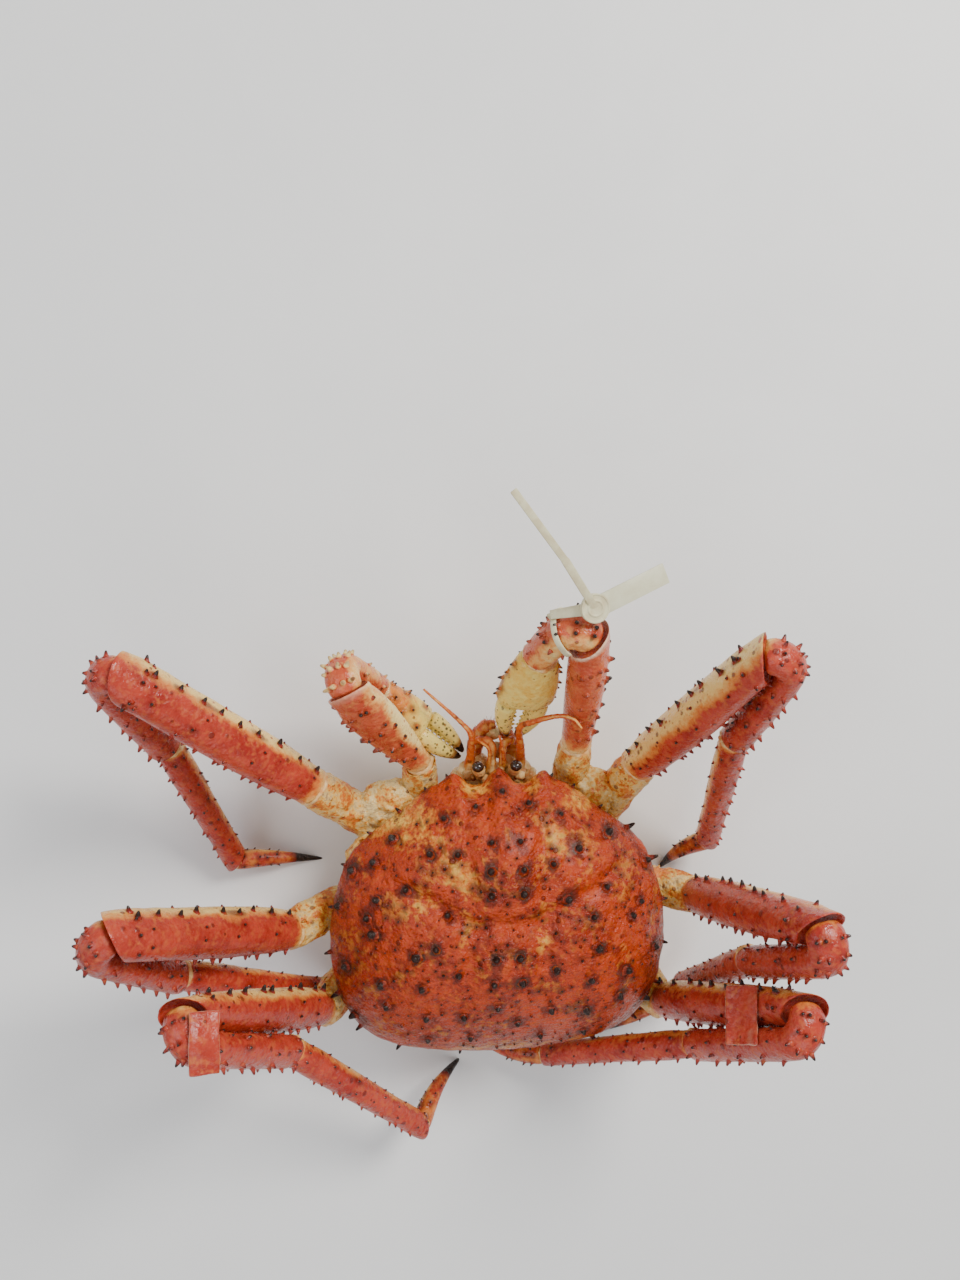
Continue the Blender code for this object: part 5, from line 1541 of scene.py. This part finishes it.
# %% Feelers and mouth limbs
RODS = {
    "antenna_left": (((-0.0140, 0.0705, 0.0390), 0.0030), ((-0.0142, 0.0780, 0.0440), 0.0028),
                     ((-0.0135, 0.0850, 0.0500), 0.0022), ((-0.0140, 0.0960, 0.0590), 0.0017),
                     ((-0.0200, 0.1040, 0.0625), 0.0012), ((-0.0390, 0.1220, 0.0680), 0.0006)),
    "antenna_right": (((0.0140, 0.0705, 0.0390), 0.0030), ((0.0142, 0.0780, 0.0440), 0.0028),
                      ((0.0130, 0.0880, 0.0540), 0.0022), ((0.0110, 0.1005, 0.0680), 0.0017),
                      ((0.0170, 0.1046, 0.0770), 0.0015), ((0.0275, 0.1082, 0.0855), 0.0013),
                      ((0.0350, 0.1073, 0.0890), 0.0010), ((0.0400, 0.1019, 0.0880), 0.0006)),
    "antennule_left": (((-0.0040, 0.0705, 0.0420), 0.0014), ((-0.0040, 0.0790, 0.0500), 0.0013),
                       ((-0.0045, 0.0880, 0.0570), 0.0010), ((-0.0110, 0.0940, 0.0620), 0.0006)),
    "antennule_right": (((0.0040, 0.0705, 0.0420), 0.0014), ((0.0040, 0.0790, 0.0500), 0.0013),
                        ((0.0030, 0.0870, 0.0570), 0.0010), ((0.0005, 0.0960, 0.0640), 0.0006)),
    "maxilliped_left": (((-0.0085, 0.0705, 0.0315), 0.0042), ((-0.0108, 0.0820, 0.0360), 0.0044),
                        ((-0.0088, 0.0930, 0.0410), 0.0042), ((-0.0045, 0.0985, 0.0440), 0.0038),
                        ((0.0005, 0.0995, 0.0450), 0.0022)),
    "maxilliped_right": (((0.0085, 0.0705, 0.0315), 0.0042), ((0.0105, 0.0810, 0.0350), 0.0044),
                         ((0.0098, 0.0890, 0.0385), 0.0041), ((0.0065, 0.0945, 0.0410), 0.0036),
                         ((0.0028, 0.0960, 0.0415), 0.0022)),
    "palp_left": (((-0.0112, 0.0905, 0.0450), 0.0020), ((-0.0065, 0.0920, 0.0488), 0.0024),
                  ((-0.0022, 0.0890, 0.0498), 0.0022), ((-0.0018, 0.0800, 0.0485), 0.0020),
                  ((-0.0022, 0.0730, 0.0460), 0.0018)),
    "palp_right": (((0.0118, 0.0895, 0.0445), 0.0020), ((0.0075, 0.0912, 0.0485), 0.0024),
                   ((0.0040, 0.0880, 0.0496), 0.0022), ((0.0036, 0.0795, 0.0485), 0.0020),
                   ((0.0030, 0.0730, 0.0460), 0.0018)),
}
def rod_hairs(points, count=60):
    """Short hairs round the outer part of a rod."""
    hairs = []
    for _ in range(count):
        share = chance.uniform(0.35, 1.0) * (len(points) - 1)
        first = min(int(share), len(points) - 2)
        start, thick = points[first]
        spot = Vector(start).lerp(Vector(points[first + 1][0]), share - first)
        x, y, z = (chance.uniform(low, 1.0) for low in (-1.0, -0.2, -0.3))
        way = Vector((x, y, z)).normalized()
        lean = (way + Vector((0, 0.8, 0))).normalized()
        hairs.append((spot + way * thick * 0.85, lean, 0.0026, 0.00022, 0.5))
    return hairs


def rod_pale(place, normal, root_y):
    """Pale near the head and on the faces that look up."""
    return 0.75 * (1 - ease(place.y, 0.072, root_y)) + 0.5 * ease(normal.z, 0.6, 1.0)


for rod_name, rod_points in RODS.items():
    if "antenna" in rod_name:
        rod = bent_rod(rod_name + "_feeler", rod_points, 26, 0.16, 14)
    elif "antennule" in rod_name:
        rod = bent_rod(rod_name + "_feeler", rod_points, 16, 0.20, 12)
    else:
        rod = bent_rod(rod_name + "_limb", rod_points, 5, 0.24, 12, 4)
    mouth_limb = "maxilliped" in rod_name
    paint(rod, "pale", lambda place, normal: rod_pale(place, normal, 0.086 if mouth_limb else 0.082))
    paint_even(rod, rim=0.0, tip=0.0)
    if mouth_limb:
        add_spines(rod, rod_hairs(rod_points))
    nodes = () if "palp" in rod_name else (rod_name,)
    hand_over(rod, SHELLS["feeler"], *nodes)
print("feelers", len(RODS))

# %% [markdown]
# The underside.
# Below the carapace is the body's plate, from whose sides the limbs spring, and under it the
# folded abdomen, on which the animal rests. Both start from a circle whose points are
# carried out to their outlines; the plate is furrowed between the limbs and the abdomen is
# stepped like the overlapping plates that it is made of.

# %% Body plate and abdomen
PLATE_HALF = ((0.0250, 0.0610), (0.0330, 0.0600), (0.0500, 0.0475), (0.0640, 0.0205), (0.0650, -0.0105),
              (0.0560, -0.0390), (0.0420, -0.0540), (0.0220, -0.0600))
ABDOMEN_HALF = ((0.0100, 0.0300), (0.0200, 0.0180), (0.0300, -0.0060), (0.0370, -0.0300), (0.0370, -0.0500),
                (0.0280, -0.0620), (0.0120, -0.0660))
PLATE_RINGS = ((0.0128, 0.95), (0.0126, 0.985), (0.0150, 0.998), (0.0250, 1.0), (0.0350, 0.998),
               (0.0374, 0.985), (0.0376, 0.95))
ABDOMEN_RINGS = ((0.0004, 0.93), (0.0003, 0.965), (0.0018, 0.985), (0.0050, 0.985), (0.0056, 0.955),
                 (0.0090, 0.955), (0.0112, 0.940), (0.0113, 0.90))


def straight_outline(half, parts):
    """A mirrored outline with extra points along its straight sides."""
    whole = [Vector((x, y)) for x, y in half] + [Vector((-x, y)) for x, y in reversed(half)]
    points = []
    for a, b in zip(whole, whole[1:] + whole[:1]):
        points += [a.lerp(b, step / parts) for step in range(parts)]
    return points


def build_slab(name, points, rings, furrow, steps=6):
    """A flat form drawn up through rings (height, share of the outline), furrowed every few points."""
    slab = start_outline(name, len(points))
    for number, (z, scale) in enumerate(rings):
        ring = []
        for i, p in enumerate(points):
            dent = furrow * max(0.0, math.cos(2 * math.pi * i / steps)) ** 6
            ring.append(Vector((p.x * (scale - dent), p.y * (scale - dent), z)))
        carry_ring(slab, ring, number > 0)
    bpy.ops.mesh.inset(thickness=0.004, depth=0.0)
    return finish_plate(slab, None, 1, 0.0006)


thorax = build_slab("breast_plate", straight_outline(PLATE_HALF, 6), PLATE_RINGS, 0.030)
abdomen = build_slab("folded_abdomen", straight_outline(ABDOMEN_HALF, 6), ABDOMEN_RINGS, 0.045)
for piece, node in ((thorax, "thorax"), (abdomen, "abdomen")):
    paint(piece, "pale", lambda place, normal: 0.45 + 0.35 * math.sin(place.y * 260))
    paint_even(piece, rim=0.0, tip=0.0)
    hand_over(piece, SHELLS["belly"], node)
print("underside", len(thorax.data.polygons), len(abdomen.data.polygons))

# %% [markdown]
# The tag.
# A loop of soft plastic grips the right claw below the elbow; from its post a short bar leads
# to a boss with two raised rings, a long bare plate stands off to one side and a thin tail
# to the other. The flat parts are boxes whose edges are bevelled, the boss is a cylinder
# whose face is inset, and the loop is a strip drawn round the limb's own section.

# %% Strip, bars and boss
def strip(name, rings):
    """A band through rows of four corners, closed at its ends, with softened edges."""
    shape = bmesh.new()
    loops = [[shape.verts.new(p) for p in ring] for ring in rings]
    for first, second in zip(loops, loops[1:]):
        for i in range(4):
            j = (i + 1) % 4
            shape.faces.new((first[i], first[j], second[j], second[i]))
    shape.faces.new(list(reversed(loops[0])))
    shape.faces.new(loops[-1])
    bmesh.ops.recalc_face_normals(shape, faces=shape.faces)
    mesh = bpy.data.meshes.new(name)
    shape.to_mesh(mesh)
    shape.free()
    piece = bpy.data.objects.new(name, mesh)
    bpy.context.scene.collection.objects.link(piece)
    return soften(piece)


def soften(piece, width=0.00035):
    """Bevels the sharp edges and shades the rest smooth."""
    solo(piece)
    edges = piece.modifiers.new("edges", "BEVEL")
    edges.width = width
    edges.segments = 2
    edges.angle_limit = math.radians(35)
    edges.limit_method = "ANGLE"
    bpy.ops.object.modifier_apply(modifier="edges")
    bpy.ops.object.shade_smooth_by_angle(angle=math.radians(40))
    return piece


def select_top(piece):
    """Selects the face that looks up, and nothing else."""
    bpy.ops.mesh.select_all(action="DESELECT")
    shape = bmesh.from_edit_mesh(piece.data)
    for face in shape.faces:
        face.select = face.normal.z > 0.9
    shape.select_flush(True)
    bmesh.update_edit_mesh(piece.data)


def flat_bar(name, start, end, broad, half, thick, narrow=1.0):
    """A flat bar between two places: a box at its size, its far end narrowed, then bevelled."""
    along = (end - start).normalized()
    wide = across(broad, along)
    bpy.ops.object.select_all(action="DESELECT")
    bpy.ops.mesh.primitive_cube_add(size=1.0)
    piece = bpy.context.object
    piece.name = name
    edit_all()
    bpy.ops.transform.resize(value=(half * 2, thick, (end - start).length), center_override=(0, 0, 0))
    select_top(piece)
    bpy.ops.transform.resize(value=(narrow, 1.0, 1.0), center_override=(0, 0, 0))
    finish_plate(piece, frame_at((start + end) / 2, wide, along.cross(wide), along), 0)
    return soften(piece)


# %% Build the tag
BAND_TURN = math.radians(124)
BAND_HALF = 0.0014
BAND_THICK = 0.0012
BOSS = Vector((0.0390, 0.1630, 0.1275))
LABEL_END = Vector((0.0740, 0.1790, 0.1225))
TAIL_TIP = Vector((-0.0010, 0.2150, 0.1500))
TAIL_BEND = Vector((0.0230, 0.1850, 0.1400))
THICK = 0.0016


BAND_NEAR = 0.0012
BAND_SIDES = 60
BOSS_RINGS = ((0.0007, 0.0), (0.0003, -0.0004), (0.0018, 0.0), (0.0003, 0.0004), (0.0006, 0.0),
              (0.0003, -0.0004))


def oval_ring(centre, side, out, wide, outer, inner, count):
    """Points of the claw's own rounded section, anticlockwise."""
    ring = []
    for i in range(count):
        angle = 2 * math.pi * (i + 0.5) / count
        c = math.cos(angle)
        s = math.sin(angle)
        x = math.copysign(abs(c) ** (2 / 2.3), c) * wide
        y = math.copysign(abs(s) ** (2 / 2.3), s) * (outer if s > 0 else inner)
        ring.append(centre + side * x + out * y)
    return ring


(fold_out, fold_pivot, fold_turn, _, _), fold_along, fold_side, fold_half = claw_folds["claw_right"]
share = (BAND_TURN - CLAW_CUT) / (fold_turn - CLAW_CUT)
outward = fold_along * math.sin(BAND_TURN) + fold_out * math.cos(BAND_TURN)
along = fold_along * math.cos(BAND_TURN) - fold_out * math.sin(BAND_TURN)
band_centre = fold_pivot + outward * CLAW_RADIUS
wide = fold_half * (0.90 + 0.10 * share)
outer = fold_half * (0.84 + 0.10 * share)
inner = fold_half * 0.72
inside, outside = (oval_ring(band_centre, fold_side, outward, wide + lift, outer + lift, inner + lift,
                             BAND_SIDES) for lift in (BAND_NEAR, BAND_NEAR + BAND_THICK))
kept = [(b - band_centre).dot(outward) > -0.7 * inner for b in outside]
gap_at = next(i for i in range(BAND_SIDES) if not kept[i])
order = [i % BAND_SIDES for i in range(gap_at, gap_at + BAND_SIDES) if kept[i % BAND_SIDES]]
band_rows = [[inside[i] - along * BAND_HALF, outside[i] - along * BAND_HALF,
              outside[i] + along * BAND_HALF, inside[i] + along * BAND_HALF] for i in order]
band = strip("tag_band", band_rows)
top = band_centre + outward * (outer + BAND_NEAR + BAND_THICK * 0.5)
lifted = top + outward * 0.0036
face = across(Vector((0, 0, 1)), (BOSS - lifted).normalized())
label_way = (LABEL_END - BOSS).normalized()
axis = across(Vector((0, -0.2, 1)), label_way)
broad = label_way.cross(axis)
tail_broad = Vector((0.8, 0.55, 0))
post = flat_bar("tag_post", top - outward * 0.0004, lifted, along, BAND_HALF * 1.2, THICK)
bar = flat_bar("tag_bar", lifted - outward * 0.0006, BOSS, (BOSS - lifted).cross(face), 0.0021, THICK, 1.5)
tail_foot = flat_bar("tag_tail_foot", BOSS, TAIL_BEND, tail_broad, 0.0019, THICK)
tail_start = TAIL_BEND + (BOSS - TAIL_BEND).normalized() * 0.001
tail_end = flat_bar("tag_tail_end", tail_start, TAIL_TIP, tail_broad, 0.0017, THICK * 0.8)

bpy.ops.object.select_all(action="DESELECT")
bpy.ops.mesh.primitive_cylinder_add(vertices=48, radius=0.0070, depth=THICK * 1.6)
boss = bpy.context.object
boss.name = "tag_boss"
bpy.ops.object.mode_set(mode="EDIT")
select_top(boss)
for thickness, depth in BOSS_RINGS:
    bpy.ops.mesh.inset(thickness=thickness, depth=depth)
finish_plate(boss, frame_at(BOSS, label_way, axis.cross(label_way), axis), 0)
soften(boss, 0.0002)
strap = join([band, post, bar, boss, tail_foot, tail_end], "tag_loop")
hand_over(strap, STRAP, "tag_strap")

label = flat_bar("tag_plate", BOSS + label_way * 0.0045, LABEL_END, broad, 0.0050, THICK)
hand_over(label, PLASTIC, "tag_label")
print("tag", len(strap.data.polygons), len(label.data.polygons))

# %% [markdown]
# Flaps of shell.
# On the last leg of each side the shell was cut, and a strip of it hangs down over the
# plates that lie folded there. A grid is laid out where the picture shows the strip, moved
# away from the camera until it rests just above the plates, and given the shell's thickness.

# %% Lay the flaps
FLAP_PLANE = 0.110
FLAPS = {
    "shell_flap_left": ("leg_left_3", (-0.1537, -0.0235), (-0.1394, -0.0234), (-0.1398, -0.0540),
                        (-0.1546, -0.0550)),
    "shell_flap_right": ("leg_right_3", (0.1060, -0.0248), (0.1223, -0.0257), (0.1221, -0.0560),
                         (0.1058, -0.0550)),
}
FLAP_LIFT = 0.0022
FLAP_COLUMNS = 8
FLAP_ROWS = 16


def nearest_on(trees, way):
    """How far from the camera the nearest of some surfaces lies, or nothing."""
    found = [tree.ray_cast(CAMERA_PLACE, way)[3] for tree in trees]
    return min((away for away in found if away is not None), default=None)


def settle(depths, ground):
    """Fills the cells that nothing carries from their neighbours, and draws the rest taut."""
    for _ in range(60):
        before = dict(depths)
        for i, j in before:
            near = [before.get(cell) for cell in ((i - 1, j), (i + 1, j), (i, j - 1), (i, j + 1))]
            near = [away for away in near if away is not None]
            if near:
                mean = sum(near) / len(near)
                depths[i, j] = mean if ground[i, j] is None else min(ground[i, j] - FLAP_LIFT, mean)
    return depths


def shell_flap(name, leg, *corners):
    """A strip of shell over a leg. Corners: upper left, upper right, lower right, lower left."""
    top_left, top_right, low_right, low_left = (Vector((*corner, FLAP_PLANE)) for corner in corners)
    trees = [bare_surface[leg + part] for part in ("_merus", "_carpus", "_propodus")]
    bpy.ops.object.select_all(action="DESELECT")
    bpy.ops.mesh.primitive_grid_add(x_subdivisions=FLAP_COLUMNS, y_subdivisions=FLAP_ROWS, size=1.0)
    flap = bpy.context.object
    flap.name = name
    bpy.ops.object.mode_set(mode="EDIT")
    mesh = bmesh.from_edit_mesh(flap.data)
    ways = {}
    cells = {}
    for vert in mesh.verts:
        cell = (round((vert.co.x + 0.5) * FLAP_COLUMNS), round((0.5 - vert.co.y) * FLAP_ROWS))
        upper = top_left.lerp(top_right, vert.co.x + 0.5)
        place = upper.lerp(low_left.lerp(low_right, vert.co.x + 0.5), 0.5 - vert.co.y)
        ways[cell] = (place - CAMERA_PLACE).normalized()
        cells[vert.index] = cell
    ground = {cell: nearest_on(trees, way) for cell, way in ways.items()}
    depths = settle({cell: away and away - FLAP_LIFT for cell, away in ground.items()}, ground)
    for vert in mesh.verts:
        cell = cells[vert.index]
        vert.co = CAMERA_PLACE + ways[cell] * depths[cell]
    bmesh.update_edit_mesh(flap.data)
    finish_plate(flap, None, 0)
    wall = flap.modifiers.new("wall", "SOLIDIFY")
    wall.thickness = 0.0011
    wall.offset = 0.0
    bpy.ops.object.modifier_apply(modifier="wall")
    finish_plate(flap, None, 1, 0.0010)
    toward = -ways[FLAP_COLUMNS // 2, FLAP_ROWS // 2]
    paint_even(flap, pale=0.12, tip=0.0)
    paint(flap, "rim", lambda place, normal: ease(1 - abs(normal.dot(toward)), 0.30, 0.75))
    return hand_over(flap, SHELLS["leg"])


for flap_name, flap_shape in FLAPS.items():
    flap = shell_flap(flap_name, *flap_shape)
    print(flap_name, len(flap.data.polygons), "lowest", round(min(v.co.z for v in flap.data.vertices), 3))

# %% [markdown]
# Skin at the joints.
# Where plates meet, the bare skin swells out of the socket in wrinkled folds, cream to
# orange, and wider folds of it close the gaps between the limbs under the carapace's edge
# and round the feelers. Each is a ball squeezed flat in the plane of its joint, its surface
# folded by a finer, stronger unevenness than the shell's.

# %% Build the skin
def skin_fold(place, normal, radius, thick, strength=0.0024):
    """A wrinkled fold of skin: a ball squeezed flat in the plane that has the given normal."""
    bpy.ops.object.select_all(action="DESELECT")
    bpy.ops.mesh.primitive_ico_sphere_add(subdivisions=5 if radius > 0.011 else 4, radius=radius)
    fold = bpy.context.object
    edit_all()
    bpy.ops.transform.resize(value=(1.0, 1.0, thick / radius), center_override=(0, 0, 0))
    matrix = normal.to_track_quat("Z", "Y").to_matrix().to_4x4()
    matrix.translation = place
    finish_plate(fold, matrix, 0)
    if strength:
        roughen(fold, folds, strength)
    return fold


for limb_name, pose in list(LEGS.items()) + list(CLAWS.items()):
    girth = pose["girth"]
    root = Vector(pose["root"])
    wrist = Vector(pose["wrist"])
    leg = limb_name.startswith("leg")
    bend = Vector(pose["knee"] if leg else pose["elbow"])
    hip = hip_of(limb_name)[0]
    after = Vector(pose["ankle"] if leg else pose["tips"])
    skins = [skin_fold(root, (bend - hip).normalized(), (0.0104 if leg else 0.0082) * girth, 0.0034),
             skin_fold(wrist, (after - bend).normalized(), (0.0078 if leg else 0.0088) * girth, 0.0026)]
    if leg:
        toe = Vector((*pose["toe"], 0.0))
        skins.append(skin_fold(after, (toe - wrist).normalized(), 0.0062 * girth, 0.0024))
    skin = join(skins, limb_name + "_skin")
    hand_over(skin, SKIN)

# %% Close the gaps beside the body
SIDE_LIMBS = ("claw_{}", "leg_{}_1", "leg_{}_2", "leg_{}_3")
WEB_SHARES = (0.44, 0.24, 0.34)
WEB_Z = 0.0375
WEB_RADIUS = 0.0125
WEB_HEIGHT = 0.0085
webs = []
for side_name, sign in (("left", -1), ("right", 1)):
    names = [limb.format(side_name) for limb in SIDE_LIMBS]
    for (first, second), outward in zip(zip(names, names[1:]), WEB_SHARES):
        roots = [Vector((CLAWS if "claw" in n else LEGS)[n]["root"]) for n in (first, second)]
        hips = [hip_of(n)[0] for n in (first, second)]
        place = (hips[0] + hips[1]).lerp(roots[0] + roots[1], outward) / 2
        place.z = WEB_Z
        between = (roots[1] - roots[0]).normalized()
        flat = across(between, UP)
        web = skin_fold(Vector((0, 0, 0)), UP, WEB_RADIUS, WEB_HEIGHT, 0.0)
        edit_all()
        bpy.ops.transform.resize(value=(1.45, 1.0, 1.0), center_override=(0, 0, 0))
        finish_plate(web, frame_at(place, flat, UP.cross(flat), UP), 0)
        roughen(web, lumps, 0.0050)
        roughen(web, folds, 0.0018)
        webs.append(web)
web = join(webs, "body_skin")
paint_even(web, pale=0.62, rim=0.0, tip=0.0)
hand_over(web, SHELLS["joint"])

HEAD_LUMPS = ((-0.0150, 0.0740, 0.0400, 0.0056), (0.0150, 0.0740, 0.0400, 0.0056),
              (0.0, 0.0735, 0.0370, 0.0050), (-0.0075, 0.0790, 0.0385, 0.0042),
              (0.0075, 0.0785, 0.0385, 0.0042), (-0.0010, 0.0950, 0.0440, 0.0040),
              (0.0010, 0.0850, 0.0420, 0.0046), (-0.0056, 0.0705, 0.0510, 0.0026),
              (0.0128, 0.0722, 0.0500, 0.0026), (-0.0190, 0.0700, 0.0360, 0.0052),
              (0.0190, 0.0700, 0.0360, 0.0052))
lumps_of_head = [skin_fold(Vector((x, y, z)), Vector((0, 0.4, 1)), radius, radius * 0.85, 0.0022)
                 for x, y, z, radius in HEAD_LUMPS]
hand_over(join(lumps_of_head, "head_skin"), SKIN)
print("skins", len([n for n in pieces if n.endswith("_skin")]))

# %% Print the sizes and finish
size = {"solids": [[float(c) for c in corner] for corner in solid_box],
        "visual": [[float(c) for c in corner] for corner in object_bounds()]}
print("size", size)
